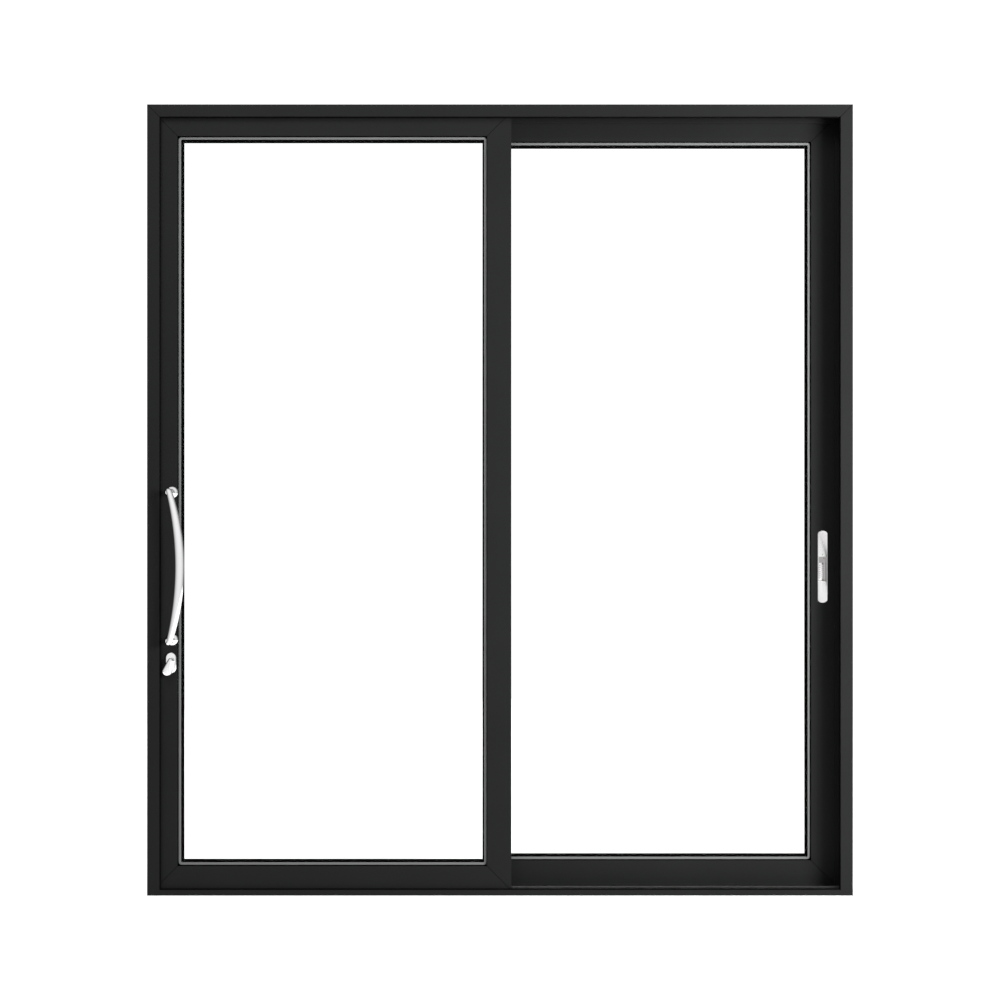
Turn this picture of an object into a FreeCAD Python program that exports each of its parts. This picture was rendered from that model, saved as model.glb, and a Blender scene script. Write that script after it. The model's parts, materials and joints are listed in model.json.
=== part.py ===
import FreeCAD, Part
import math
import os
import Sketcher

# A two-track sliding patio door: a hollow aluminium frame, and two glazed panels that slide past
# each other. X runs to the right, Y into the wall and Z up. The origin is on the underside of the
# sill, at the middle of the frame's width and depth. Lengths are in millimetres.

SIZES = [
    ("frame_width", 1800, "frame, over both jambs"),
    ("frame_height", 2018, "frame, from the floor to the top of the head"),
    ("face_setback", 14, "face of the frame back to the face of the nearer panel"),
    ("frame_face", 31, "width of the frame's lips as seen from the front"),
    ("web_depth", 7, "outer face of the hollow web to its inner face"),
    ("web_wall", 2, "each skin of the hollow web"),
    ("lip_wall", 2.5, "thickness of the front and rear lips"),
    ("fin_wall", 3, "thickness of the guide fins"),
    ("fin_reach", 14, "guide fin, from the web to its tip"),
    ("divider_wall", 2, "thickness of the divider between the channels"),
    ("sill_floor", 3, "thickness of the sill's floor"),
    ("sill_lip", 14, "height of the sill's lips"),
    ("sill_divider", 12, "height of the sill's divider"),
    ("rail_width", 4.4, "width of the sill's two track rails"),
    ("rail_rise", 10.6, "track rail, from the sill's floor to its top"),
    ("cap_wall", 0.8, "thickness of the steel track caps"),
    ("cap_skirt", 5.7, "height of a track cap"),
    ("cap_end_gap", 1, "end of a track cap to the tip of the jamb's fin"),
    ("fixing_pitch_y", 28, "jamb fixing holes, across the frame"),
    ("fixing_pitch_z", 1500, "jamb fixing holes, up the jamb"),
    ("fixing_radius", 3.25, "radius of the jamb fixing holes"),
    ("pile_base", 7, "width of the weatherstrip's backing"),
    ("pile_backing", 1, "thickness of the weatherstrip's backing"),
    ("pile_width", 5, "width of the weatherstrip's pile"),
    ("pile_depth", 6, "weatherstrip, from the lip to the tips of the pile"),
    ("pile_reach", 2, "pile that shows past the edge of the lip"),
    ("keeper_height", 100, "height of the keepers, over both feet"),
    ("keeper_face", 64, "height of a keeper's raised face"),
    ("keeper_width", 16, "width of the keepers"),
    ("keeper_wall", 2, "thickness of the keepers' strap"),
    ("keeper_end_gap", 2, "end of a keeper to the cut end of the guide fin"),
    ("keeper_slot", 40, "height of the slot in a keeper"),
    ("keeper_slot_width", 7, "width of the slot in a keeper"),
    ("weep_length", 32, "length of the drain slots in the sill's rear lip"),
    ("weep_height", 4, "height of the drain slots"),
    ("weep_pitch", 600, "distance between the drain slots"),
    ("sash_depth", 44, "thickness of a panel's frame"),
    ("panel_gap", 12, "space between the two panels"),
    ("edge_clearance", 5.2, "jamb's web to the closed panel's edge"),
    ("head_clearance", 8, "head's web to the top of a panel"),
    ("panel_overlap", 58, "overlap of the two closed panels"),
    ("rear_panel_ajar", 16.7, "how far the rear panel stands open"),
    ("sash_face", 62, "width of the stiles and rails on the glass side's flange"),
    ("sash_wall", 2, "wall of the stile and rail extrusion"),
    ("groove_width", 26, "guide groove round the edge of a panel"),
    ("groove_depth", 16, "depth of the guide groove"),
    ("rebate_line", 52.5, "panel's edge to the floor of the glazing rebate"),
    ("glass_line", 57, "panel's edge to the edge of the glass"),
    ("glass_setback", 8, "panel's face back to the front pane"),
    ("pane_thickness", 5, "each of the two panes"),
    ("pane_space", 14, "air space between the panes"),
    ("spacer_line", 73.8, "panel's edge to the inner edge of the spacer"),
    ("gasket_line", 63.2, "panel's edge to the outer edge of the gasket's nose"),
    ("gasket_nose", 6.8, "width of the gasket's visible nose"),
    ("gasket_heel", 59, "panel's edge to the hidden heel of the gasket"),
    ("gasket_heel_width", 2.4, "width of the gasket's heel, behind the flange"),
    ("gasket_base", 0.8, "thickness of the strip that joins heel and nose"),
    ("gasket_recess", 5.5, "panel's face back to the gasket's nose"),
    ("gasket_outer_round", 8, "rounding of the nose's outer corners"),
    ("gasket_inner_round", 2, "rounding of the nose's inner corners"),
    ("bead_wall", 2, "wall of the snap-in glazing bead"),
    ("bead_leg", 9, "depth of the glazing bead's leg"),
    ("interlock_depth", 5.8, "interlock fin, out from the stile"),
    ("interlock_wall", 2, "thickness of the interlock fin"),
    ("interlock_foot", 20, "width of the interlock's foot"),
    ("interlock_foot_wall", 1.2, "thickness of the interlock's foot"),
    ("interlock_gap", 5.5, "space between the two fins of the closed panels"),
    ("interlock_end_low", 14, "panel's lower edge to the interlock"),
    ("interlock_end_high", 23, "interlock to the panel's upper edge"),
    ("axle_height", 18, "roller axle above the panel's lower edge"),
    ("axle_radius", 2.5, "radius of the roller axles"),
    ("axle_play", 0.3, "play between a wheel and its axle"),
    ("tread_radius", 13, "roller wheel at the bottom of its groove"),
    ("tread_width", 7, "width of the wheel's groove"),
    ("wheel_flange", 2, "height of the wheel's sloped flanges over its tread"),
    ("wheel_width", 10, "width of a roller wheel"),
    ("rolling_gap", 0.3, "track cap to the wheel's tread"),
    ("wheel_pitch", 36, "distance between the two wheels of a roller"),
    ("roller_setback", 150, "panel's edge to the middle of a roller"),
    ("roller_length", 84, "length of a roller housing's box"),
    ("roller_width", 17, "width of a roller housing's box"),
    ("roller_wall", 1.5, "wall of a roller housing"),
    ("roller_flange", 8, "end flange of a roller housing"),
    ("roller_flange_width", 24, "width of a roller housing's flange"),
    ("roller_headroom", 4, "wheel to the roof of its housing"),
    ("pocket_play", 0.5, "play round a housing in its cut-out"),
    ("handle_height", 840, "middle of the pull handle above the floor"),
    ("handle_setback", 48, "lock stile's edge to the middle of the handle's posts"),
    ("post_pitch", 377, "distance between the handle's two posts"),
    ("rose_radius", 15.5, "radius of the post's rose"),
    ("rose_depth", 5, "thickness of the post's rose"),
    ("post_radius", 7, "radius of the handle's posts"),
    ("post_length", 40, "posts, from the panel's face to the bar's centre line"),
    ("bar_bow", 31, "how far the handle's bar bows sideways"),
    ("bar_forward_bow", 8, "how far the handle's bar bows forwards"),
    ("bar_width", 24, "width of the bar at its middle"),
    ("bar_depth", 14, "thickness of the bar at its middle"),
    ("bar_end_width", 15, "width of the bar at its ends"),
    ("bar_end_depth", 12, "thickness of the bar at its ends"),
    ("bar_end", 11, "bar past the centre of a post"),
    ("bar_end_round", 6, "how far the domed ends of the bar run"),
    ("lock_height", 592, "middle of the lock's rose above the floor"),
    ("lock_setback", 45.5, "lock stile's edge to the middle of the lock's rose"),
    ("lock_rose_width", 28, "width of the lock's oval rose"),
    ("lock_rose_height", 54, "height of the lock's oval rose"),
    ("lock_rose_depth", 5, "thickness of the lock's rose"),
    ("lock_rose_bevel", 2.2, "bevel round the front of the lock's rose"),
    ("turn_shaft_radius", 5, "radius of the thumb turn's shaft"),
    ("turn_gap", 4, "lock's rose to the back of the thumb turn"),
    ("turn_lobe_radius", 12.5, "round end of the thumb turn"),
    ("turn_tip_radius", 7.5, "narrow end of the thumb turn"),
    ("turn_drop", 21, "thumb turn's shaft to the middle of its round end"),
    ("turn_rise", 7, "thumb turn's shaft to the middle of its narrow end"),
    ("turn_depth", 11, "thickness of the thumb turn"),
    ("turn_tilt", 19, "lean of the thumb turn from upright, in degrees"),
    ("turn_bevel", 3, "bevel round the front of the thumb turn"),
    ("faceplate_height", 180, "height of the lock's faceplates"),
    ("faceplate_width", 20, "width of the lock's faceplates"),
    ("faceplate_wall", 2, "thickness of the lock's faceplates"),
    ("faceplate_slot", 34, "height of the slot in a faceplate"),
    ("faceplate_slot_width", 6, "width of the slot in a faceplate"),
    ("case_width", 14, "width of the lock cases behind the faceplates"),
    ("case_height", 130, "height of the lock cases"),
    ("case_depth", 28, "depth of the lock cases"),
    ("bolt_recess", 12, "depth of the bolt's slot in a lock case"),
    ("pull_height", 835.4, "middle of the flush pull above the floor"),
    ("pull_setback", 32, "latch stile's edge to the middle of the flush pull"),
    ("pull_width", 25.2, "width of the flush pull's plate"),
    ("pull_length", 187, "length of the flush pull's plate"),
    ("pull_end_rise", 5, "arch of the plate's two ends"),
    ("pull_plate", 1, "how far the plate stands proud of the stile"),
    ("cup_height", 63, "height of the flush pull's recess"),
    ("cup_width", 20.6, "width of the flush pull's recess"),
    ("cup_drop", 5.8, "middle of the plate down to the middle of the recess"),
    ("cup_depth", 12, "depth of the recess behind the plate"),
    ("cup_wall", 1.2, "wall of the recess"),
    ("catch_width", 11.4, "width of the sliding catch"),
    ("catch_height", 46, "height of the sliding catch"),
    ("catch_side_gap", 0.5, "catch to the side of the recess"),
    ("catch_end_gap", 1.5, "catch to the lower end of the recess"),
    ("catch_inset", 0.6, "front of the catch behind the front of the plate"),
    ("catch_back_gap", 0.3, "catch to the back of the recess"),
]

document = FreeCAD.newDocument("patio_door")
sheet = document.addObject("Spreadsheet::Sheet", "Sizes")
sub_parts = []


class Measure:
    """A length, together with the spreadsheet formula that it comes from."""

    def __init__(self, value, formula):
        self.value = value
        self.formula = formula

    def joined(self, other, sign, value):
        return Measure(value, f"({self.formula} {sign} {as_measure(other).formula})")

    def __add__(self, other):
        return self.joined(other, "+", self.value + as_measure(other).value)

    def __sub__(self, other):
        return self.joined(other, "-", self.value - as_measure(other).value)

    def __mul__(self, other):
        return self.joined(other, "*", self.value * as_measure(other).value)

    def __truediv__(self, other):
        return self.joined(other, "/", self.value / as_measure(other).value)

    def __radd__(self, other):
        return as_measure(other) + self

    def __rsub__(self, other):
        return as_measure(other) - self

    def __rmul__(self, other):
        return as_measure(other) * self

    def __neg__(self):
        return Measure(-self.value, f"(-{self.formula})")


def as_measure(amount):
    if isinstance(amount, Measure):
        return amount
    return Measure(amount, f"({amount})")


class Sizes:
    """The spreadsheet's cells, each as a Measure under its alias."""

    def __init__(self):
        for row, (alias, amount, note) in enumerate(SIZES, 1):
            sheet.set(f"A{row}", note)
            sheet.set(f"B{row}", str(amount))
            sheet.setAlias(f"B{row}", alias)
            setattr(self, alias, Measure(amount, f"Sizes.{alias}"))


s = Sizes()
document.recompute()


def bind(thing, path, amount):
    thing.setExpression(path, as_measure(amount).formula)


def place(thing, x=0, y=0, z=0):
    bind(thing, "Placement.Base.x", x)
    bind(thing, "Placement.Base.y", y)
    bind(thing, "Placement.Base.z", z)


def keep(thing, label):
    """Names a finished sub-part, which is then checked and written out."""
    thing.Label = label
    sub_parts.append(thing)
    return thing


def new_body(name, origin=(0, 0, 0)):
    body = document.addObject("PartDesign::Body", name)
    body.AllowCompound = True
    place(body, *origin)
    return body


def new_sketch(body, plane_role, offset=0):
    """A sketch on one of the body's own planes. An offset moves it along the plane's normal."""
    sketch = body.newObject("Sketcher::SketchObject", body.Name + "_sketch")
    plane = [p for p in body.Origin.OriginFeatures if p.Role == plane_role][0]
    sketch.AttachmentSupport = [(plane, "")]
    sketch.MapMode = "FlatFace"
    bind(sketch, "AttachmentOffset.Base.z", offset)
    return sketch


def fix_point(sketch, geometry, end, point):
    """Holds one end of a line or the centre of a circle at its own place."""
    for axis, amount in zip(("DistanceX", "DistanceY"), point):
        amount = as_measure(amount)
        number = sketch.addConstraint(Sketcher.Constraint(axis, -1, 1, geometry, end, amount.value))
        bind(sketch, f"Constraints[{number}]", amount)


def polygon(sketch, points):
    """A closed outline of straight lines."""
    corners = [FreeCAD.Vector(as_measure(x).value, as_measure(y).value, 0) for x, y in points]
    first = sketch.GeometryCount
    count = len(corners)
    sides = [Part.LineSegment(corners[i], corners[(i + 1) % count]) for i in range(count)]
    sketch.addGeometry(sides, False)
    for i in range(count):
        sketch.addConstraint(Sketcher.Constraint("Coincident", first + i, 2, first + (i + 1) % count, 1))
    for i, point in enumerate(points):
        fix_point(sketch, first + i, 1, point)


def rectangle(sketch, left, right, low, high):
    polygon(sketch, [(left, low), (right, low), (right, high), (left, high)])


def circle(sketch, centre, radius):
    x, y = (as_measure(c).value for c in centre)
    radius = as_measure(radius)
    shape = Part.Circle(FreeCAD.Vector(x, y, 0), FreeCAD.Vector(0, 0, 1), radius.value)
    geometry = sketch.addGeometry(shape, False)
    fix_point(sketch, geometry, 3, centre)
    number = sketch.addConstraint(Sketcher.Constraint("Radius", geometry, radius.value))
    bind(sketch, f"Constraints[{number}]", radius)


def arc_point(centre, radius, degrees):
    angle = math.radians(degrees)
    return centre + FreeCAD.Vector(radius * math.cos(angle), radius * math.sin(angle), 0)


def upright_slot(sketch, x, low, high, half_width):
    """A slot with round ends, standing upright. low and high are its extreme points."""
    centres = [(x, high - half_width), (x, low + half_width)]
    radius = as_measure(half_width)
    first = sketch.GeometryCount
    middles = [FreeCAD.Vector(as_measure(cx).value, as_measure(cy).value, 0) for cx, cy in centres]
    ends = [(middles[0], 0, 180), (middles[1], 180, 360)]
    for middle, start, stop in ends:
        whole = Part.Circle(middle, FreeCAD.Vector(0, 0, 1), radius.value)
        arc = Part.ArcOfCircle(whole, math.radians(start), math.radians(stop))
        sketch.addGeometry(arc, False)
    for a, b in ((0, 1), (1, 0)):
        start = arc_point(ends[a][0], radius.value, ends[a][2])
        stop = arc_point(ends[b][0], radius.value, ends[b][1])
        sketch.addGeometry(Part.LineSegment(start, stop), False)
    for arc, line, arc_end, line_end in ((0, 2, 2, 1), (1, 2, 1, 2), (1, 3, 2, 1), (0, 3, 1, 2)):
        joint = Sketcher.Constraint("Tangent", first + arc, arc_end, first + line, line_end)
        sketch.addConstraint(joint)
    for number, centre in enumerate(centres):
        fix_point(sketch, first + number, 3, centre)
    number = sketch.addConstraint(Sketcher.Constraint("Radius", first, radius.value))
    bind(sketch, f"Constraints[{number}]", radius)


def pad(body, sketch, length, symmetric=False, reverse=False):
    feature = body.newObject("PartDesign::Pad", body.Name + "_pad")
    feature.Profile = sketch
    feature.SideType = "Symmetric" if symmetric else "One side"
    feature.Reversed = reverse
    bind(feature, "Length", length)
    return feature


def pocket_through(body, sketch):
    """Cuts a sketch through everything, on both sides of its plane."""
    feature = body.newObject("PartDesign::Pocket", body.Name + "_pocket")
    feature.Profile = sketch
    feature.Type = "ThroughAll"
    feature.SideType = "Symmetric"
    return feature


def pocket(body, sketch, depth, reverse=False):
    feature = body.newObject("PartDesign::Pocket", body.Name + "_pocket")
    feature.Profile = sketch
    feature.Reversed = reverse
    bind(feature, "Length", depth)
    return feature


def revolve(body, sketch, axis_name):
    feature = body.newObject("PartDesign::Revolution", body.Name + "_turn")
    feature.Profile = sketch
    feature.ReferenceAxis = (sketch, [axis_name])
    feature.Angle = 360
    return feature


def at_front(depth):
    """Picks the edges that lie on a pad's front face, which stands out by depth."""
    return lambda edge: edge.BoundBox.YMax < 0.001 - depth.value


def mirror(body, features, plane_role):
    plane = [p for p in body.Origin.OriginFeatures if p.Role == plane_role][0]
    copy = body.newObject("PartDesign::Mirrored", body.Name + "_mirror")
    copy.Originals = features
    copy.MirrorPlane = (plane, [""])
    body.Tip = copy
    return copy


def dress_edges(body, feature, chosen, kind, size_name, size):
    """Adds a Fillet or a Chamfer to the edges of a feature for which chosen(edge) is true."""
    document.recompute()
    names = [f"Edge{i}" for i, edge in enumerate(feature.Shape.Edges, 1) if chosen(edge)]
    dressed = body.newObject("PartDesign::" + kind, body.Name + "_edges")
    dressed.Base = (feature, names)
    bind(dressed, size_name, size)
    return dressed


def round_edges(body, feature, chosen, radius):
    return dress_edges(body, feature, chosen, "Fillet", "Radius", radius)


def bevel_edges(body, feature, chosen, size):
    return dress_edges(body, feature, chosen, "Chamfer", "Size", size)


# Places worked out from the sizes

track_pitch = s.sash_depth + s.panel_gap
half_pitch = track_pitch / 2
frame_depth = 2 * s.face_setback + track_pitch + s.sash_depth
half_depth = frame_depth / 2
half_width = s.frame_width / 2
rail_top = s.sill_floor + s.rail_rise
cap_top = rail_top + s.cap_wall
axle_z = cap_top + s.rolling_gap + s.tread_radius
sash_low = axle_z - s.axle_height
sash_height = s.frame_height - s.web_depth - s.head_clearance - sash_low
sash_width = s.frame_width / 2 - s.web_depth - s.edge_clearance + s.panel_overlap / 2
half_sash = sash_width / 2
half_sash_depth = s.sash_depth / 2
closed_middle = s.panel_overlap / 2 - half_sash
front_middle = closed_middle
rear_middle = -closed_middle - s.rear_panel_ajar
fin_tip = s.web_depth + s.fin_reach
latch_height = s.pull_height - s.cup_drop


def mirrored_outline(half):
    """An outline across the frame's depth, from its half at positive depth."""
    return half + [(-across, out) for across, out in reversed(half)]


def frame_outline():
    """Head and jamb section: places across the depth, and inwards from the outer face."""
    lip = half_depth - s.lip_wall
    fin_near = half_pitch - s.fin_wall / 2
    fin_far = half_pitch + s.fin_wall / 2
    divider = s.divider_wall / 2
    half = [
        (divider, s.frame_face),
        (divider, s.web_depth),
        (fin_near, s.web_depth),
        (fin_near, fin_tip),
        (fin_far, fin_tip),
        (fin_far, s.web_depth),
        (lip, s.web_depth),
        (lip, s.frame_face),
        (half_depth, s.frame_face),
        (half_depth, 0),
    ]
    return mirrored_outline(half)


def frame_chambers():
    """The two hollows in the web, one each side of the divider."""
    near = s.divider_wall / 2
    far = half_depth - s.lip_wall
    low = s.web_wall
    high = s.web_depth - s.web_wall
    chamber = [(near, low), (far, low), (far, high), (near, high)]
    return [chamber, [(-across, out) for across, out in chamber]]


def jamb_outlines(side, outlines):
    """Turns a section's places into X and Y for the left (-1) or right (1) jamb."""
    return [[(side * (half_width - out), across) for across, out in line] for line in outlines]


def head_outlines(outlines):
    """Turns a section's places into Y and Z for the head."""
    return [[(across, s.frame_height - out) for across, out in line] for line in outlines]


def past(reach):
    """A little further than reach, for a cut that runs right through a section."""
    return reach + 1


def mitre_head(body, reach):
    cut = new_sketch(body, "XZ_Plane")
    run = past(reach)
    top = s.frame_height
    for side in (-1, 1):
        edge = side * half_width
        polygon(cut, [(edge, top), (edge, top - run), (side * (half_width - run), top - run)])
    pocket_through(body, cut)


def mitre_jamb(body, side, reach):
    cut = new_sketch(body, "XZ_Plane")
    run = past(reach)
    top = s.frame_height
    inner = side * (half_width - run)
    polygon(cut, [(side * half_width, top), (inner, top), (inner, top - run)])
    pocket_through(body, cut)


def make_head():
    body = new_body("head_extrusion")
    section = new_sketch(body, "YZ_Plane")
    for outline in head_outlines([frame_outline()] + frame_chambers()):
        polygon(section, outline)
    pad(body, section, s.frame_width, symmetric=True)
    mitre_head(body, s.frame_face)
    return keep(body, "head")


def cut_keeper_notch(jamb, side, across, height):
    """Takes a jamb's guide fin away where its keeper stands."""
    cut = new_sketch(jamb, "XZ_Plane", s.fin_wall - across)
    half = s.keeper_height / 2 + s.keeper_end_gap
    web = side * (half_width - s.web_depth)
    rectangle(cut, web, side * (half_width - past(fin_tip)), height - half, height + half)
    pocket(jamb, cut, 2 * s.fin_wall)


def make_jamb(side, track, keeper_middle, label):
    """A jamb, mitred at its top, whose keeper stands on the line of a track."""
    body = new_body(label + "_extrusion")
    section = new_sketch(body, "XY_Plane")
    for outline in jamb_outlines(side, [frame_outline()] + frame_chambers()):
        polygon(section, outline)
    pad(body, section, s.frame_height)
    mitre_jamb(body, side, s.frame_face)
    holes = new_sketch(body, "YZ_Plane")
    for across in (-s.fixing_pitch_y / 2, s.fixing_pitch_y / 2):
        for up in (-s.fixing_pitch_z / 2, s.fixing_pitch_z / 2):
            circle(holes, (across, s.frame_height / 2 + up), s.fixing_radius)
    pocket_through(body, holes)
    cut_keeper_notch(body, side, track, keeper_middle)
    return keep(body, label)


def sill_outline():
    """Sill section: a floor with two lips, two track rails and a divider."""
    rail_near = half_pitch - s.rail_width / 2
    rail_far = half_pitch + s.rail_width / 2
    divider = s.divider_wall / 2
    lip = half_depth - s.lip_wall
    half = [
        (divider, s.sill_divider),
        (divider, s.sill_floor),
        (rail_near, s.sill_floor),
        (rail_near, rail_top),
        (rail_far, rail_top),
        (rail_far, s.sill_floor),
        (lip, s.sill_floor),
        (lip, s.sill_lip),
        (half_depth, s.sill_lip),
        (half_depth, 0),
    ]
    return mirrored_outline(half)


def cut_weep_slots(sill):
    """Cuts the slots through which rainwater leaves the sill, low in its rear lip."""
    cut = new_sketch(sill, "XZ_Plane", 2 * s.lip_wall - half_depth)
    half = s.weep_length / 2
    for middle in (-s.weep_pitch, as_measure(0), s.weep_pitch):
        rectangle(cut, middle - half, middle + half, s.sill_floor, s.sill_floor + s.weep_height)
    pocket(sill, cut, 3 * s.lip_wall)


def make_sill(jambs):
    """The sill runs between the jambs' webs, and its ends are coped round their lips and fins."""
    body = new_body("sill_extrusion")
    section = new_sketch(body, "YZ_Plane")
    polygon(section, sill_outline())
    pad(body, section, s.frame_width - 2 * s.web_depth, symmetric=True)
    cut_weep_slots(body)
    both = document.addObject("Part::MultiFuse", "both_jambs")
    both.Shapes = jambs
    coped = document.addObject("Part::Cut", "coped_sill")
    coped.Base = body
    coped.Tool = both
    return keep(coped, "sill")


def make_track(side, label):
    """A steel cap, open below, on one of the sill's rails."""
    body = new_body(label + "_cap")
    section = new_sketch(body, "YZ_Plane")
    centre = side * half_pitch
    inner = s.rail_width / 2
    outer = inner + s.cap_wall
    low = cap_top - s.cap_skirt
    corners = [
        (centre - outer, low),
        (centre - outer, cap_top),
        (centre + outer, cap_top),
        (centre + outer, low),
        (centre + inner, low),
        (centre + inner, rail_top),
        (centre - inner, rail_top),
        (centre - inner, low),
    ]
    polygon(section, corners)
    pad(body, section, s.frame_width - 2 * (fin_tip + s.cap_end_gap), symmetric=True)
    return keep(body, label)


def pile_outlines(edge):
    """Front and rear weatherstrips: a backing on the lip, and a pile that reaches past its edge."""
    lip = half_depth - s.lip_wall
    shelf = lip - s.pile_backing
    tips = lip - s.pile_depth
    high = edge + s.pile_reach
    strip = [
        (lip, edge - s.pile_base),
        (lip, edge),
        (shelf, edge),
        (shelf, high),
        (tips, high),
        (tips, high - s.pile_width),
        (shelf, high - s.pile_width),
        (shelf, edge - s.pile_base),
    ]
    return [strip, [(-across, out) for across, out in strip]]


def make_head_weatherstrips():
    body = new_body("head_pile")
    section = new_sketch(body, "YZ_Plane")
    for outline in head_outlines(pile_outlines(s.frame_face)):
        polygon(section, outline)
    pad(body, section, s.frame_width, symmetric=True)
    mitre_head(body, s.frame_face + s.pile_reach)
    return keep(body, "head_weatherstrips")


def make_jamb_weatherstrips(side, label):
    body = new_body(label + "_pile")
    section = new_sketch(body, "XY_Plane", s.sill_floor)
    for outline in jamb_outlines(side, pile_outlines(s.frame_face)):
        polygon(section, outline)
    pad(body, section, s.frame_height - s.sill_floor)
    mitre_jamb(body, side, s.frame_face + s.pile_reach)
    return keep(body, label)


def make_sill_weatherstrips():
    body = new_body("sill_pile")
    section = new_sketch(body, "YZ_Plane")
    for outline in pile_outlines(s.sill_lip):
        polygon(section, outline)
    pad(body, section, s.frame_width - 2 * (s.frame_face + s.pile_reach), symmetric=True)
    return keep(body, "sill_weatherstrips")


def make_keeper(side, across, height, label):
    """A bent strap on the jamb's web, with two feet and a raised face slotted for the bolt."""
    body = new_body(label + "_strap", (side * (half_width - s.web_depth), across, height))
    half = s.keeper_height / 2
    face = s.keeper_face / 2
    wall = s.keeper_wall
    outer = [(0, half), (wall, half), (wall, face), (s.fin_reach, face)]
    inner = [(s.fin_reach - wall, face - wall), (0, face - wall)]
    outline = outer + [(out, -up) for out, up in reversed(outer)]
    outline += [(out, -up) for out, up in reversed(inner)] + inner
    profile = new_sketch(body, "XZ_Plane")
    polygon(profile, [(-side * out, up) for out, up in outline])
    pad(body, profile, s.keeper_width, symmetric=True)
    slot = new_sketch(body, "YZ_Plane")
    upright_slot(slot, as_measure(0), -s.keeper_slot / 2, s.keeper_slot / 2, s.keeper_slot_width / 2)
    pocket_through(body, slot)
    return keep(body, label)


def sash_outline():
    """Stile and rail section: places across the depth from the panel's middle, and inwards."""
    groove = s.groove_width / 2
    front = -half_sash_depth
    back = half_sash_depth
    flange = front + s.sash_wall
    return [
        (front, 0),
        (-groove, 0),
        (-groove, s.groove_depth),
        (groove, s.groove_depth),
        (groove, 0),
        (back, 0),
        (back, s.rebate_line),
        (flange, s.rebate_line),
        (flange, s.sash_face),
        (front, s.sash_face),
    ]


def sash_chamber():
    """The hollow of the extrusion, which wraps round the guide groove."""
    wall = s.sash_wall
    leg = s.groove_width / 2 + wall
    side = half_sash_depth - wall
    floor = s.groove_depth + wall
    roof = s.rebate_line - wall
    return [
        (-side, wall),
        (-leg, wall),
        (-leg, floor),
        (leg, floor),
        (leg, wall),
        (side, wall),
        (side, roof),
        (-side, roof),
    ]


def make_stile(panel, side, label):
    """An upright of a panel, mitred at both ends. side is -1 at the left edge and 1 at the right."""
    body = new_body(label + "_extrusion", panel)
    section = new_sketch(body, "XY_Plane")
    for outline in (sash_outline(), sash_chamber()):
        polygon(section, [(side * (half_sash - out), across) for across, out in outline])
    pad(body, section, sash_height)
    cut = new_sketch(body, "XZ_Plane")
    run = past(s.sash_face)
    inner = side * (half_sash - run)
    polygon(cut, [(side * half_sash, 0), (inner, 0), (inner, run)])
    polygon(cut, [(side * half_sash, sash_height), (inner, sash_height), (inner, sash_height - run)])
    pocket_through(body, cut)
    return body


def make_rail(panel, top, label):
    """A top or bottom rail of a panel, mitred at both ends."""
    body = new_body(label + "_extrusion", panel)
    section = new_sketch(body, "YZ_Plane")
    for outline in (sash_outline(), sash_chamber()):
        polygon(section, [(across, sash_height - out if top else out) for across, out in outline])
    pad(body, section, sash_width, symmetric=True)
    cut = new_sketch(body, "XZ_Plane")
    run = past(s.sash_face)
    edge = sash_height if top else 0
    line = sash_height - run if top else run
    for side in (-1, 1):
        outer = side * half_sash
        polygon(cut, [(outer, edge), (outer, line), (side * (half_sash - run), line)])
    pocket_through(body, cut)
    return body


def cut_roller_openings(body):
    """Cuts the floor of the guide groove where the two rollers stand in the rail."""
    cut = new_sketch(body, "XY_Plane", s.groove_depth - s.sash_wall)
    half_box = s.roller_length / 2 + s.pocket_play
    half_across = s.roller_width / 2 + s.pocket_play
    for side in (-1, 1):
        middle = side * (half_sash - s.roller_setback)
        rectangle(cut, middle - half_box, middle + half_box, -half_across, half_across)
    pocket(body, cut, 3 * s.sash_wall, reverse=True)


def ring(sketch, outer, inner):
    """A frame-shaped outline between two distances in from the panel's edge."""
    for line in (outer, inner):
        rectangle(sketch, line - half_sash, half_sash - line, line, sash_height - line)


def add_ring(body, outer, inner, front, back):
    """Adds a ring between two distances in from the edge and two places across the depth."""
    sketch = new_sketch(body, "XZ_Plane", -front)
    ring(sketch, outer, inner)
    return pad(body, sketch, back - front, reverse=True)


def make_bead(panel, label):
    """The snap-in bead on the back of the glass: a face, and a leg that stands on the rebate."""
    body = new_body(label + "_ring", panel)
    back = half_sash_depth
    add_ring(body, s.rebate_line, s.sash_face, back - s.bead_wall, back)
    leg_end = s.rebate_line + s.bead_wall
    add_ring(body, s.rebate_line, leg_end, back - s.bead_leg, back - s.bead_wall)
    return keep(body, label)


def at_ring_corner(line):
    """Picks the edges across the depth at the corners of a ring that is line in from the edge."""
    place_on_x = (half_sash - line).value

    def chosen(edge):
        box = edge.BoundBox
        upright = box.XLength < 0.001 and box.ZLength < 0.001
        return upright and abs(abs(box.XMin) - place_on_x) < 0.001

    return chosen


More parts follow.
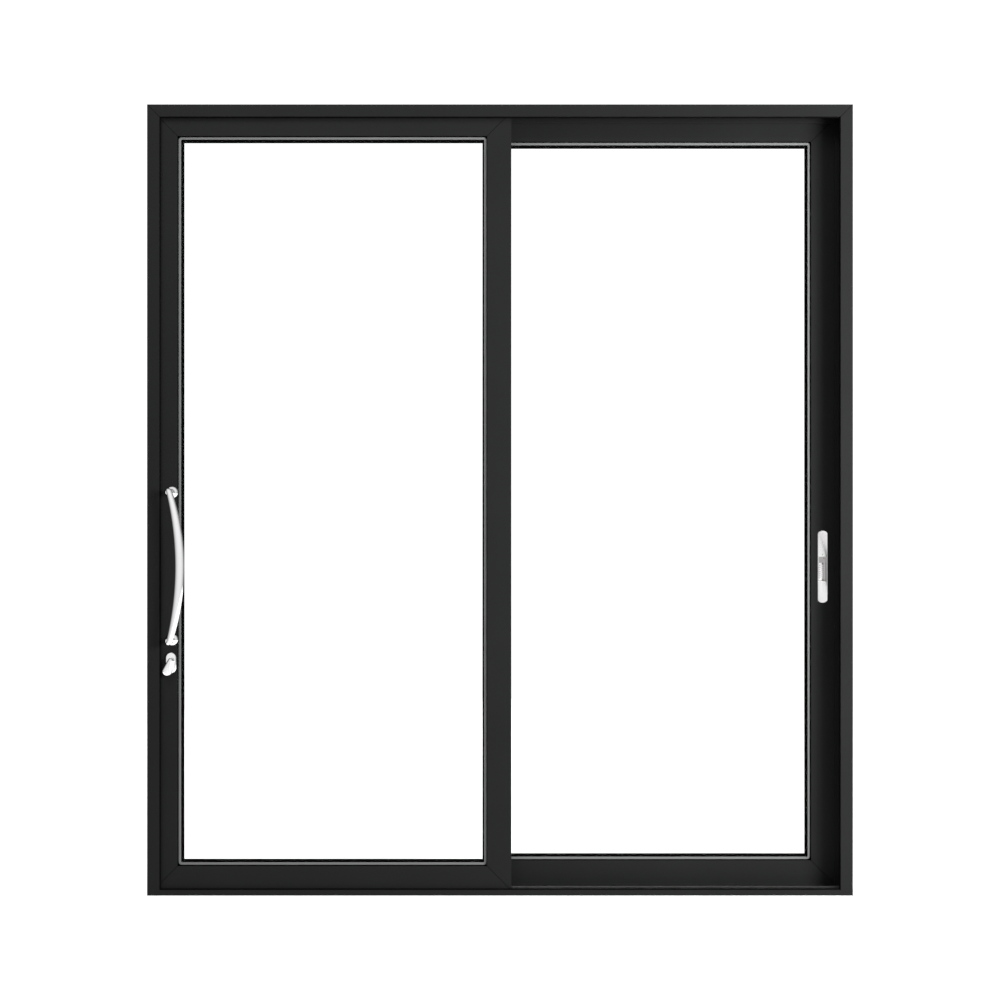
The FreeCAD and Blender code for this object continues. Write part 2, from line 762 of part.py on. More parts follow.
def make_gaskets(panel, label):
    """Front and back gaskets, each with a heel behind a flange and a nose that shows on the glass."""
    inner = s.gasket_line + s.gasket_nose
    heel_end = s.gasket_heel + s.gasket_heel_width
    flange = half_sash_depth - s.sash_wall
    nose = half_sash_depth - s.gasket_recess
    glass_front = s.glass_setback - half_sash_depth
    glass_back = glass_front + 2 * s.pane_thickness + s.pane_space
    body = new_body(label + "_rings", panel)
    rings = [(s.gasket_heel, heel_end, flange), (s.gasket_line, inner, nose)]
    for outer_line, inner_line, depth in rings:
        add_ring(body, outer_line, inner_line, -depth, glass_front)
        add_ring(body, outer_line, inner_line, glass_back, depth)
    add_ring(body, s.gasket_heel, inner, glass_front - s.gasket_base, glass_front)
    whole = add_ring(body, s.gasket_heel, inner, glass_back, glass_back + s.gasket_base)
    rounded = round_edges(body, whole, at_ring_corner(s.gasket_line), s.gasket_outer_round)
    round_edges(body, rounded, at_ring_corner(inner), s.gasket_inner_round)
    return keep(body, label)


def make_pane(panel, front, label):
    body = new_body(label + "_sheet", panel)
    sketch = new_sketch(body, "XZ_Plane", -front)
    edge = s.glass_line
    rectangle(sketch, edge - half_sash, half_sash - edge, edge, sash_height - edge)
    pad(body, sketch, s.pane_thickness, reverse=True)
    return keep(body, label)


def make_spacer(panel, label):
    front = s.glass_setback - half_sash_depth + s.pane_thickness
    body = new_body(label + "_ring", panel)
    add_ring(body, s.glass_line, s.spacer_line, front, front + s.pane_space)
    return keep(body, label)


def make_interlock(panel, side, fin_place, label):
    """An angle on the meeting stile: side is 1 on the front panel's back, -1 on the rear's front."""
    body = new_body(label + "_angle", panel)
    section = new_sketch(body, "XY_Plane", s.interlock_end_low)
    face = side * half_sash_depth
    foot = side * (half_sash_depth + s.interlock_foot_wall)
    tip = side * (half_sash_depth + s.interlock_depth)
    corners = [
        (fin_place, face),
        (fin_place + side * s.interlock_foot, face),
        (fin_place + side * s.interlock_foot, foot),
        (fin_place + side * s.interlock_wall, foot),
        (fin_place + side * s.interlock_wall, tip),
        (fin_place, tip),
    ]
    polygon(section, corners)
    pad(body, section, sash_height - s.interlock_end_low - s.interlock_end_high)
    return keep(body, label)


def wheel_places():
    """Distances from the panel's middle to the two wheels of the right-hand roller."""
    middle = half_sash - s.roller_setback
    return [middle - s.wheel_pitch / 2, middle + s.wheel_pitch / 2]


def make_roller_housings(panel, label):
    """Two steel boxes, open below, with a flange at each end under the groove's floor."""
    body = new_body(label + "_box", panel)
    middle = half_sash - s.roller_setback
    floor = s.groove_depth
    roof = s.axle_height + s.tread_radius + s.wheel_flange + s.roller_headroom
    outline = new_sketch(body, "XY_Plane", floor - s.roller_wall)
    half_flange = s.roller_length / 2 + s.roller_flange
    across = s.roller_flange_width / 2
    rectangle(outline, middle - half_flange, middle + half_flange, -across, across)
    flange = pad(body, outline, s.roller_wall)
    box = new_sketch(body, "XY_Plane", floor - s.roller_wall)
    half_box = s.roller_length / 2
    half_across = s.roller_width / 2
    rectangle(box, middle - half_box, middle + half_box, -half_across, half_across)
    shell = pad(body, box, roof - floor + s.roller_wall + s.roller_wall)
    hollow = new_sketch(body, "XY_Plane", floor - s.roller_wall)
    inner_box = half_box - s.roller_wall
    inner_across = half_across - s.roller_wall
    rectangle(hollow, middle - inner_box, middle + inner_box, -inner_across, inner_across)
    inside = pocket(body, hollow, roof - floor + s.roller_wall, reverse=True)
    axles = new_sketch(body, "XZ_Plane")
    for along in wheel_places():
        circle(axles, (along, s.axle_height), s.axle_radius)
    pins = pad(body, axles, s.roller_width, symmetric=True)
    mirror(body, [flange, shell, inside, pins], "YZ_Plane")
    return keep(body, label)


def make_roller_wheels(panel, label):
    """Grooved wheels, two to a roller, on the housings' axles."""
    body = new_body(label + "_turned", (panel[0], panel[1], axle_z))
    bore = s.axle_radius + s.axle_play
    rim = s.tread_radius + s.wheel_flange
    tread = s.tread_width / 2
    side = s.wheel_width / 2
    wheels = []
    for along in wheel_places():
        profile = new_sketch(body, "YZ_Plane", along)
        corners = [
            (-side, bore),
            (side, bore),
            (side, rim),
            (tread, s.tread_radius),
            (-tread, s.tread_radius),
            (-side, rim),
        ]
        polygon(profile, corners)
        wheels.append(revolve(body, profile, "H_Axis"))
    mirror(body, wheels, "YZ_Plane")
    return keep(body, label)


def cut_case_opening(stile, side, height):
    """Cuts the floor of the guide groove where a lock case goes in."""
    cut = new_sketch(stile, "YZ_Plane", side * (half_sash - s.groove_depth - s.sash_wall))
    half_across = s.case_width / 2 + s.pocket_play
    half_up = s.case_height / 2 + s.pocket_play
    middle = height - sash_low
    rectangle(cut, -half_across, half_across, middle - half_up, middle + half_up)
    pocket(stile, cut, 2 * s.sash_wall, reverse=side > 0)


def make_faceplate(panel, side, height, label):
    """A lock case with a round-ended faceplate on the groove's floor, slotted for the bolt."""
    groove = half_sash - s.groove_depth
    x = panel[0] + side * groove
    body = new_body(label + "_plate", (x, panel[1], height))
    face = new_sketch(body, "YZ_Plane")
    half = s.faceplate_height / 2
    upright_slot(face, as_measure(0), -half, half, s.faceplate_width / 2)
    pad(body, face, s.faceplate_wall, reverse=side < 0)
    case = new_sketch(body, "YZ_Plane")
    across = s.case_width / 2
    rectangle(case, -across, across, -s.case_height / 2, s.case_height / 2)
    pad(body, case, s.case_depth, reverse=side > 0)
    bolt = new_sketch(body, "YZ_Plane", side * s.faceplate_wall)
    slot = s.faceplate_slot / 2
    upright_slot(bolt, as_measure(0), -slot, slot, s.faceplate_slot_width / 2)
    pocket(body, bolt, s.faceplate_wall + s.bolt_recess, reverse=side < 0)
    return keep(body, label)


def make_panel(prefix, middle, across, side):
    """Everything that a panel has on both tracks. side is -1 for the front panel, 1 for the rear."""
    panel = (middle, across, sash_low)
    outer = "lock_stile" if side < 0 else "latch_stile"
    stile = make_stile(panel, side, f"{prefix}_{outer}")
    keep(make_stile(panel, -side, f"{prefix}_meeting_stile"), f"{prefix}_meeting_stile")
    keep(make_rail(panel, True, f"{prefix}_top_rail"), f"{prefix}_top_rail")
    bottom = make_rail(panel, False, f"{prefix}_bottom_rail")
    cut_roller_openings(bottom)
    keep(bottom, f"{prefix}_bottom_rail")
    make_bead(panel, f"{prefix}_glazing_bead")
    make_gaskets(panel, f"{prefix}_gaskets")
    front_pane = s.glass_setback - half_sash_depth
    make_pane(panel, front_pane, f"{prefix}_glass_front_pane")
    make_pane(panel, front_pane + s.pane_thickness + s.pane_space, f"{prefix}_glass_back_pane")
    make_spacer(panel, f"{prefix}_glass_spacer")
    fin = half_sash - s.panel_overlap / 2 + s.interlock_gap / 2
    make_interlock(panel, -side, -side * fin, f"{prefix}_interlock")
    make_roller_housings(panel, f"{prefix}_roller_housings")
    make_roller_wheels(panel, f"{prefix}_roller_wheels")
    return stile


def cut_flush_pull_opening(stile):
    """Cuts the face of the latch stile where the flush pull's recess goes in."""
    cut = new_sketch(stile, "XZ_Plane", half_sash_depth + s.pull_plate)
    x = half_sash - s.pull_setback
    z = latch_height - sash_low
    half_across = s.cup_width / 2 + s.cup_wall + s.pocket_play
    half_up = s.cup_height / 2 + s.cup_wall + s.pocket_play
    rectangle(cut, x - half_across, x + half_across, z - half_up, z + half_up)
    pocket(stile, cut, s.pull_plate + 2 * s.sash_wall)


def handle_origin():
    x = front_middle - half_sash + s.handle_setback
    return (x, -half_pitch - half_sash_depth, s.handle_height)


def make_handle_posts():
    """A rose and a post, turned as one, at each end of the handle."""
    body = new_body("handle_posts", handle_origin())
    profile = new_sketch(body, "YZ_Plane")
    axis = s.post_pitch / 2
    edge = s.rose_depth / 3
    outline = [
        (0, axis),
        (0, axis + s.rose_radius),
        (edge - s.rose_depth, axis + s.rose_radius),
        (-s.rose_depth, axis + s.rose_radius - edge),
        (-s.rose_depth, axis + s.post_radius),
        (-s.post_length, axis + s.post_radius),
        (-s.post_length, axis),
    ]
    polygon(profile, outline)
    centre = [FreeCAD.Vector(0, axis.value, 0), FreeCAD.Vector(-s.post_length.value, axis.value, 0)]
    line = profile.addGeometry(Part.LineSegment(*centre), True)
    profile.addConstraint(Sketcher.Constraint("Coincident", line, 1, 0, 1))
    profile.addConstraint(Sketcher.Constraint("Coincident", line, 2, len(outline) - 1, 1))
    post = body.newObject("PartDesign::Revolution", "post_turn")
    post.Profile = profile
    post.ReferenceAxis = (profile, ["Axis0"])
    post.Angle = 360
    mirror(body, [post], "XY_Plane")
    return keep(body, "pull_handle_posts")


def bar_stations(half):
    """Places along the bar, each with the scale of its section, which shrinks over the domed ends."""
    whole = half - s.bar_end_round
    free = s.post_pitch / 2 - past(s.post_radius)
    steps = 7
    stations = [(free * (step / steps), 1) for step in range(-steps, steps + 1)]
    stations = [(-whole, 1)] + stations + [(whole, 1)]
    for degrees in (40, 70):
        angle = math.radians(degrees)
        along = whole + s.bar_end_round * round(math.sin(angle), 3)
        scale = round(math.cos(angle), 3)
        stations = [(-along, scale)] + stations + [(along, scale)]
    return stations


def make_handle_bar(posts):
    """A bowed bar, lofted through ellipses that swell towards its middle, seated on the posts."""
    x, y, z = handle_origin()
    half = s.post_pitch / 2 + s.bar_end
    ellipses = []
    for along, scale in bar_stations(half):
        share = along / half
        swell = 1 - share * share
        ellipse = document.addObject("Part::Ellipse", "bar_station")
        width = s.bar_end_width + (s.bar_width - s.bar_end_width) * swell
        depth = s.bar_end_depth + (s.bar_depth - s.bar_end_depth) * swell
        bind(ellipse, "MajorRadius", width * scale / 2)
        bind(ellipse, "MinorRadius", depth * scale / 2)
        front = y - s.post_length - s.bar_forward_bow * swell
        place(ellipse, x + s.bar_bow * swell, front, z + along)
        ellipses.append(ellipse)
    loft = document.addObject("Part::Loft", "bar_loft")
    loft.Sections = ellipses
    loft.Solid = True
    loft.Ruled = True
    seated = document.addObject("Part::Cut", "bar_on_posts")
    seated.Base = loft
    seated.Tool = posts
    return keep(seated, "pull_handle_bar")


def lock_origin():
    x = front_middle - half_sash + s.lock_setback
    return (x, -half_pitch - half_sash_depth, s.lock_height)


def make_lock_rose():
    body = new_body("lock_rose_plate", lock_origin())
    face = new_sketch(body, "XZ_Plane")
    half = s.lock_rose_height / 2
    upright_slot(face, as_measure(0), -half, half, s.lock_rose_width / 2)
    plate = pad(body, face, s.lock_rose_depth)
    bevel_edges(body, plate, at_front(s.lock_rose_depth), s.lock_rose_bevel)
    return keep(body, "lock_rose")


def make_thumb_turn():
    """A pear-shaped grip on a short shaft, leaning from the upright."""
    x, y, z = lock_origin()
    body = new_body("turn_grip", (x, y - s.lock_rose_depth - s.turn_gap, z))
    body.Placement.Rotation = FreeCAD.Rotation(FreeCAD.Vector(0, 1, 0), s.turn_tilt.value)
    bind(body, "Placement.Rotation.Angle", s.turn_tilt)
    face = new_sketch(body, "XZ_Plane")
    lobe = FreeCAD.Vector(0, -s.turn_drop.value, 0)
    tip = FreeCAD.Vector(0, s.turn_rise.value, 0)
    lean = math.degrees(
        math.asin((s.turn_lobe_radius - s.turn_tip_radius).value / (s.turn_drop + s.turn_rise).value)
    )
    big = Part.Circle(lobe, FreeCAD.Vector(0, 0, 1), s.turn_lobe_radius.value)
    small = Part.Circle(tip, FreeCAD.Vector(0, 0, 1), s.turn_tip_radius.value)
    angles = [math.radians(a) for a in (180 - lean, 360 + lean, lean, 180 - lean)]
    face.addGeometry(Part.ArcOfCircle(big, angles[0], angles[1]), False)
    face.addGeometry(Part.ArcOfCircle(small, angles[2], angles[3]), False)
    for angle in (lean, 180 - lean):
        start = arc_point(lobe, s.turn_lobe_radius.value, angle)
        stop = arc_point(tip, s.turn_tip_radius.value, angle)
        face.addGeometry(Part.LineSegment(start, stop), False)
    for arc, line, arc_end, line_end in ((0, 2, 2, 1), (1, 2, 1, 2), (0, 3, 1, 1), (1, 3, 2, 2)):
        face.addConstraint(Sketcher.Constraint("Tangent", arc, arc_end, line, line_end))
    fix_point(face, 0, 3, (0, -s.turn_drop))
    fix_point(face, 1, 3, (0, s.turn_rise))
    for arc, radius in ((0, s.turn_lobe_radius), (1, s.turn_tip_radius)):
        number = face.addConstraint(Sketcher.Constraint("Radius", arc, radius.value))
        bind(face, f"Constraints[{number}]", radius)
    grip = pad(body, face, s.turn_depth)
    bevel_edges(body, grip, at_front(s.turn_depth), s.turn_bevel)
    shaft = new_sketch(body, "XZ_Plane")
    circle(shaft, (0, 0), s.turn_shaft_radius)
    pad(body, shaft, s.turn_gap - s.rolling_gap, reverse=True)
    return keep(body, "thumb_turn")


def pull_origin():
    x = rear_middle + half_sash - s.pull_setback
    return (x, half_pitch - half_sash_depth, s.pull_height)


def make_flush_pull_plate():
    """A long plate with arched ends, and an oblong opening over the recess."""
    body = new_body("pull_plate", pull_origin())
    face = new_sketch(body, "XZ_Plane")
    half_across = s.pull_width / 2
    straight = s.pull_length / 2 - s.pull_end_rise
    tall = s.pull_length / 2
    radius = (half_across * half_across + s.pull_end_rise * s.pull_end_rise) / (2 * s.pull_end_rise)
    corners = [
        (-half_across, -straight),
        (half_across, -straight),
        (half_across, straight),
        (-half_across, straight),
    ]
    points = [FreeCAD.Vector(a.value, b.value, 0) for a, b in corners]
    tops = [FreeCAD.Vector(0, -tall.value, 0), FreeCAD.Vector(0, tall.value, 0)]
    face.addGeometry(Part.Arc(points[0], tops[0], points[1]), False)
    face.addGeometry(Part.LineSegment(points[1], points[2]), False)
    face.addGeometry(Part.Arc(points[2], tops[1], points[3]), False)
    face.addGeometry(Part.LineSegment(points[3], points[0]), False)
    for one, one_end, other, other_end in ((0, 2, 1, 1), (1, 2, 2, 1), (2, 2, 3, 1), (3, 2, 0, 1)):
        face.addConstraint(Sketcher.Constraint("Coincident", one, one_end, other, other_end))
    fix_point(face, 1, 1, corners[1])
    fix_point(face, 1, 2, corners[2])
    fix_point(face, 3, 1, corners[3])
    fix_point(face, 3, 2, corners[0])
    for arc in (0, 2):
        number = face.addConstraint(Sketcher.Constraint("Radius", arc, radius.value))
        bind(face, f"Constraints[{number}]", radius)
    half_cup = s.cup_width / 2
    low = -s.cup_drop - s.cup_height / 2
    rectangle(face, -half_cup, half_cup, low, low + s.cup_height)
    pad(body, face, s.pull_plate)
    return keep(body, "flush_pull_plate")


def make_flush_pull_cup():
    """The recess behind the plate: four walls and a back."""
    x, y, z = pull_origin()
    body = new_body("pull_cup", (x, y, z - s.cup_drop))
    outside = new_sketch(body, "XZ_Plane")
    half_across = s.cup_width / 2
    half_up = s.cup_height / 2
    wide = half_across + s.cup_wall
    tall = half_up + s.cup_wall
    rectangle(outside, -wide, wide, -tall, tall)
    pad(body, outside, s.cup_depth + s.cup_wall, reverse=True)
    inside = new_sketch(body, "XZ_Plane")
    rectangle(inside, -half_across, half_across, -half_up, half_up)
    pocket(body, inside, s.cup_depth)
    return keep(body, "flush_pull_cup")


def make_latch_catch():
    """The catch that slides in the recess, beside the space for a fingertip."""
    x, y, z = pull_origin()
    body = new_body("catch", (x, y, z - s.cup_drop))
    face = new_sketch(body, "XZ_Plane", s.pull_plate - s.catch_inset)
    left = s.catch_side_gap - s.cup_width / 2
    low = s.catch_end_gap - s.cup_height / 2
    rectangle(face, left, left + s.catch_width, low, low + s.catch_height)
    depth = s.pull_plate - s.catch_inset + s.cup_depth - s.catch_back_gap
    pad(body, face, depth, reverse=True)
    return keep(body, "latch_catch")


def make_frame():
    make_head()
    left_jamb = make_jamb(-1, -half_pitch, s.lock_height, "left_jamb")
    right_jamb = make_jamb(1, half_pitch, latch_height, "right_jamb")
    make_sill([left_jamb, right_jamb])
    make_track(-1, "front_track")
    make_track(1, "rear_track")
    make_head_weatherstrips()
    make_jamb_weatherstrips(-1, "left_jamb_weatherstrips")
    make_jamb_weatherstrips(1, "right_jamb_weatherstrips")
    make_sill_weatherstrips()
    make_keeper(-1, -half_pitch, s.lock_height, "lock_keeper")
    make_keeper(1, half_pitch, latch_height, "latch_keeper")


def make_front_panel():
    lock_stile = make_panel("front", front_middle, -half_pitch, -1)
    cut_case_opening(lock_stile, -1, s.lock_height)
    keep(lock_stile, "front_lock_stile")
    panel = (front_middle, -half_pitch, sash_low)
    make_faceplate(panel, -1, s.lock_height, "lock_faceplate")
    posts = make_handle_posts()
    make_handle_bar(posts)
    make_lock_rose()
    make_thumb_turn()


def make_rear_panel():
    latch_stile = make_panel("rear", rear_middle, half_pitch, 1)
    cut_flush_pull_opening(latch_stile)
    cut_case_opening(latch_stile, 1, latch_height)
    keep(latch_stile, "rear_latch_stile")
    panel = (rear_middle, half_pitch, sash_low)
    make_faceplate(panel, 1, latch_height, "latch_faceplate")
    make_flush_pull_plate()
    make_flush_pull_cup()
    make_latch_catch()


def check_and_write():
    """Stops on any failed object or bad solid, and otherwise writes each sub-part."""
    document.recompute()
    failed = [o.Label for o in document.Objects if {"Invalid", "Error"} & set(o.State)]
    if failed:
        raise RuntimeError(f"failed objects: {failed}")
    for part in sub_parts:
        shape = part.Shape
        if shape.isNull() or not shape.isValid() or not shape.Solids:
            raise RuntimeError(f"bad shape: {part.Label}")
    os.makedirs("parts", exist_ok=True)
    for part in sub_parts:
        part.Shape.exportStep(f"parts/{part.Label}.step")
        print(part.Label, len(part.Shape.Solids), round(part.Shape.Volume / 1000, 2), "cm3")


make_frame()
make_front_panel()
make_rear_panel()
check_and_write()
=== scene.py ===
import json
import math

import bmesh
import bpy
from bpy.props import FloatProperty, FloatVectorProperty, IntProperty, PointerProperty
from mathutils import Matrix, Vector


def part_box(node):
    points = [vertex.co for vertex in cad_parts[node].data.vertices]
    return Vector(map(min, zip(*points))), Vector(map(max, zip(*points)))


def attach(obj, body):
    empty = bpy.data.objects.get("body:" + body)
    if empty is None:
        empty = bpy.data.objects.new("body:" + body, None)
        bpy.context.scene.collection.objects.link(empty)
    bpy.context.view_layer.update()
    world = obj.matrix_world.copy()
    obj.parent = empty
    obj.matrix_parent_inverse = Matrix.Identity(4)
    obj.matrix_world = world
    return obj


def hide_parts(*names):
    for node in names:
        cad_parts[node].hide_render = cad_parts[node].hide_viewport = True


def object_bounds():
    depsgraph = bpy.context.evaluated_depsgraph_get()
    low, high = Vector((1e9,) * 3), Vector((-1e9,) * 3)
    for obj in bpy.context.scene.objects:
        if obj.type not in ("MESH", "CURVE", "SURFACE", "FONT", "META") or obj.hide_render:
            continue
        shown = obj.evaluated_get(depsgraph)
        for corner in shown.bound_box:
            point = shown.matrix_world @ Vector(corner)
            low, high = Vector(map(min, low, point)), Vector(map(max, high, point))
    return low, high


bl_info = {
    "name": "Sliding patio door",
    "version": (1, 0, 0),
    "blender": (4, 5, 0),
    "location": "View3D > Sidebar > Patio door",
    "description": "Dresses the frame, panels, glass and handles of a two-panel sliding patio door",
    "category": "Add Mesh",
}

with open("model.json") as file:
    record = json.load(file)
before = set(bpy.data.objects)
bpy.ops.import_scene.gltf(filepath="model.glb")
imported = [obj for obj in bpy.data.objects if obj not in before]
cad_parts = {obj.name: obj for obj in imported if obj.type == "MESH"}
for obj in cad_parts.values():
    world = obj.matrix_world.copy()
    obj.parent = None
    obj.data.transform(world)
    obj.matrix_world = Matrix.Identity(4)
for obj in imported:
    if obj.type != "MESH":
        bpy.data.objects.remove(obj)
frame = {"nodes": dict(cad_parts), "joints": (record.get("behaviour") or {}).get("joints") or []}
CAD_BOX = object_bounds()

# Lengths are in metres. X runs along the door, Y into the wall and Z up.
MM = 0.001
FRONT, UP, ALONG = Vector((0, -1, 0)), Vector((0, 0, 1)), Vector((1, 0, 0))

# Each softbox's place, its width and the point that it is aimed at.
SOFTBOXES = {
    "key": ((-1.0, -1.9, 3.4), 1.4, (0, 0, 1.2)),
    "fill": ((2.05, -1.7, 1.4), 1.2, (0.8, 0, 1.1)),
    "back": ((-0.8, 3.0, 2.4), 2.0, (0, 0, 1.0)),
}

FRAME_NODES = ("head", "left_jamb", "right_jamb", "sill")
SASH_NODES = {
    "front_panel": ("front_lock_stile", "front_meeting_stile", "front_top_rail", "front_bottom_rail"),
    "rear_panel": ("rear_meeting_stile", "rear_latch_stile", "rear_top_rail", "rear_bottom_rail"),
}
TRACK_NODES = ("front_track", "rear_track")
PILE_NODES = (
    "head_weatherstrips",
    "left_jamb_weatherstrips",
    "right_jamb_weatherstrips",
    "sill_weatherstrips",
)
SPACER_NODES = ("front_glass_spacer", "rear_glass_spacer")
PANE_NODES = (
    "front_glass_front_pane",
    "front_glass_back_pane",
    "rear_glass_front_pane",
    "rear_glass_back_pane",
)
FACEPLATE_NODES = {"front_panel": ("lock_faceplate", -1), "rear_panel": ("latch_faceplate", 1)}
KEEPER_NODES = {"lock_keeper": 1, "latch_keeper": -1}


class Signal:
    """A node's output. Sums written with it add Math nodes."""

    def __init__(self, nodes, socket):
        self.nodes = nodes
        self.socket = socket

    def maths(self, operation, *others):
        values = dict(enumerate((self, *others)))
        return self.nodes.node("Math", {"operation": operation}, values)

    def __add__(self, other):
        return self.maths("ADD", other)

    def __radd__(self, other):
        return self.maths("ADD", other)

    def __sub__(self, other):
        return self.maths("SUBTRACT", other)

    def __rsub__(self, other):
        return self.maths("MULTIPLY", -1.0).maths("ADD", other)

    def __mul__(self, other):
        return self.maths("MULTIPLY", other)

    def __rmul__(self, other):
        return self.maths("MULTIPLY", other)

    def __pow__(self, other):
        return self.maths("POWER", other)


class NodeTree:
    """The nodes of a material or a world while they are put together."""

    def __init__(self, owner):
        owner.use_nodes = True
        self.tree = owner.node_tree
        self.tree.nodes.clear()

    def node(self, kind, settings=(), sockets=(), out=0):
        """Adds a node of that kind, sets it up, then gives its sockets their values or links."""
        made = self.tree.nodes.new("ShaderNode" + kind)
        for name, value in dict(settings).items():
            setattr(made, name, value)
        for name, value in dict(sockets).items():
            if isinstance(value, Signal):
                self.tree.links.new(value.socket, made.inputs[name])
            else:
                made.inputs[name].default_value = value
        return Signal(self, made.outputs[out]) if made.outputs else None


class Finish(NodeTree):
    """A material while its nodes are put together."""

    def __init__(self, name):
        self.material = bpy.data.materials.new(name)
        super().__init__(self.material)
        self.place = self.node("TexCoord", out="Object")

    def stretched(self, x=1.0, y=1.0, z=1.0):
        """Object coordinates, stretched for a pattern that runs one way."""
        return self.node("Mapping", {}, {"Vector": self.place, "Scale": (x, y, z)})

    def noise(self, scale, detail=2.0, rough=0.5, place=None):
        sockets = {"Vector": place or self.place, "Scale": scale, "Detail": detail, "Roughness": rough}
        return self.node("TexNoise", {}, sockets)

    def between(self, amount, low, high):
        """Spreads 0 to 1 over low to high."""
        return self.node("MapRange", {"clamp": True}, {"Value": amount, "To Min": low, "To Max": high})

    def above(self, amount, start, stop):
        """0 where amount is under start, 1 where it is over stop."""
        sockets = {"Value": amount, "From Min": start, "From Max": stop}
        return self.node("MapRange", {"clamp": True, "interpolation_type": "SMOOTHSTEP"}, sockets)

    def blend(self, amount, first, second):
        """Mixes two colours."""
        return self.node("Mix", {"data_type": "RGBA"}, {0: amount, 6: first, 7: second}, out=2)

    def vector(self, operation, *values):
        return self.node("VectorMath", {"operation": operation}, dict(enumerate(values)))

    def part(self, vector, axis):
        return self.node("SeparateXYZ", {}, {"Vector": vector}, out=axis)

    def mitres(self, outline, foot, width):
        """1 on the slanting seams at the corners of an upright frame, above their foot."""
        low, high = outline
        middle, half = (low + high) / 2, (high - low) / 2
        offset = self.vector("ABSOLUTE", self.vector("SUBTRACT", self.place, tuple(middle)))
        off_seam = (self.part(offset, "X") - self.part(offset, "Z") + (half.z - half.x)).maths("ABSOLUTE")
        above_foot = self.part(self.place, "Z").maths("GREATER_THAN", foot)
        return (1.0 - self.above(off_seam, 0.2 * width, width)) * above_foot

    def bump(self, height, distance, strength, normal=None):
        sockets = {"Height": height, "Distance": distance, "Strength": strength}
        if normal:
            sockets["Normal"] = normal
        return self.node("Bump", {}, sockets)

    def surface(self, **sockets):
        """A Principled surface. Underscores in the names stand for spaces."""
        named = {name.replace("_", " "): value for name, value in sockets.items()}
        return self.node("BsdfPrincipled", {}, named)

    def done(self, shader):
        self.node("OutputMaterial", {}, {"Surface": shader})
        return self.material


def rgba(colour, factor=1.0):
    return (*(channel * factor for channel in colour), 1.0)


def powder_coat(name, colour, seam, dusty=False):
    """Fine-grained dark powder coat, with painted shade in the hairline gaps of its mitred corner seams.
    seam is the outline and the seams' foot.
    """
    finish = Finish(name)
    outline, seam_foot = seam
    seam_width, seam_depth = 1.6 * MM, 0.4 * MM
    seam_shade_share, seam_roughness, speck_share = 0.75, 0.35, 0.35
    grain = finish.noise(scale=1400.0, detail=2.0)
    orange_peel = finish.noise(scale=260.0, detail=1.0)
    cloud = finish.noise(scale=3.5, detail=3.0)
    patches = finish.between(cloud, low=-0.1, high=1.1)
    shade = finish.blend(patches, rgba(colour, factor=0.86), rgba(colour, factor=1.14))
    speck = finish.above(grain, start=0.6, stop=0.78)
    shade = finish.blend(speck * speck_share, shade, rgba(colour, factor=1.9))
    rough = finish.between(grain * 0.5 + cloud * 0.5, low=0.42, high=0.56)
    if dusty:
        dust_colour, dust_share, dust_roughness = (0.22, 0.20, 0.17), 0.04, 0.15
        upward = finish.part(finish.node("NewGeometry", out="Normal"), "Z")
        on_top = finish.above(upward, start=0.75, stop=0.98)
        settled = finish.above(finish.noise(scale=38.0, detail=6.0, rough=0.65), start=0.42, stop=0.75)
        dust = on_top * settled
        shade = finish.blend(dust * dust_share, shade, rgba(dust_colour))
        rough = rough + dust * dust_roughness
    # Painted shade: the mitre seams are darkened to a near-black line, as the shade in their hairline gap,
    # with a groove bumped in.
    joint = finish.mitres(outline, seam_foot, seam_width)
    shade = finish.blend(joint * seam_shade_share, shade, rgba(colour, factor=0.15))
    rough = rough + joint * seam_roughness
    relief = finish.bump(orange_peel, distance=0.08 * MM, strength=0.4)
    relief = finish.bump(grain, distance=0.04 * MM, strength=0.35, normal=relief)
    relief = finish.bump(1.0 - joint, distance=seam_depth, strength=0.6, normal=relief)
    shader = finish.surface(
        Base_Color=shade, Roughness=rough, Specular_IOR_Level=0.05, Normal=relief
    )
    return finish.done(shader)


def brushed_metal(name, colour, rough, grain_axis, grain=900.0, wear=0.0):
    """Metal with drawn or brushed lines along one axis. wear darkens it in patches."""
    finish = Finish(name)
    along_grain, lines_share, cloud_share = 0.012, 0.6, 0.4
    squeeze = [1.0, 1.0, 1.0]
    squeeze["XYZ".index(grain_axis)] = along_grain
    lines = finish.noise(scale=grain, detail=3.0, rough=0.6, place=finish.stretched(*squeeze))
    cloud = finish.noise(scale=22.0, detail=4.0, rough=0.6)
    streaks = finish.between(lines, low=0.0, high=1.0)
    shade = finish.blend(streaks, rgba(colour, factor=0.82), rgba(colour, factor=1.1))
    worn = finish.above(cloud, start=0.55, stop=0.8) * wear
    shade = finish.blend(worn, shade, rgba(colour, factor=0.45))
    uneven = lines * lines_share + cloud * cloud_share
    roughness = finish.between(uneven, low=rough * 0.75, high=rough * 1.3)
    relief = finish.bump(lines, distance=0.03 * MM, strength=0.4)
    shader = finish.surface(Base_Color=shade, Metallic=1.0, Roughness=roughness, Normal=relief)
    return finish.done(shader)


def polished_chrome(name, colour, rough):
    """Bright plating: nearly a mirror, with a trace of fingerprints and fine wiping marks."""
    finish = Finish(name)
    smear_share, smear_roughness, wiped_roughness = 0.25, 0.07, 0.03
    smear = finish.above(finish.noise(scale=70.0, detail=5.0, rough=0.6), start=0.5, stop=0.85)
    wiped = finish.noise(scale=500.0, place=finish.stretched(z=0.15))
    shade = finish.blend(smear * smear_share, rgba(colour), rgba(colour, factor=0.88))
    roughness = rough + smear * smear_roughness + wiped * wiped_roughness
    relief = finish.bump(finish.noise(scale=45.0, detail=1.0), distance=0.06 * MM, strength=0.15)
    shader = finish.surface(Base_Color=shade, Metallic=1.0, Roughness=roughness, Normal=relief)
    return finish.done(shader)


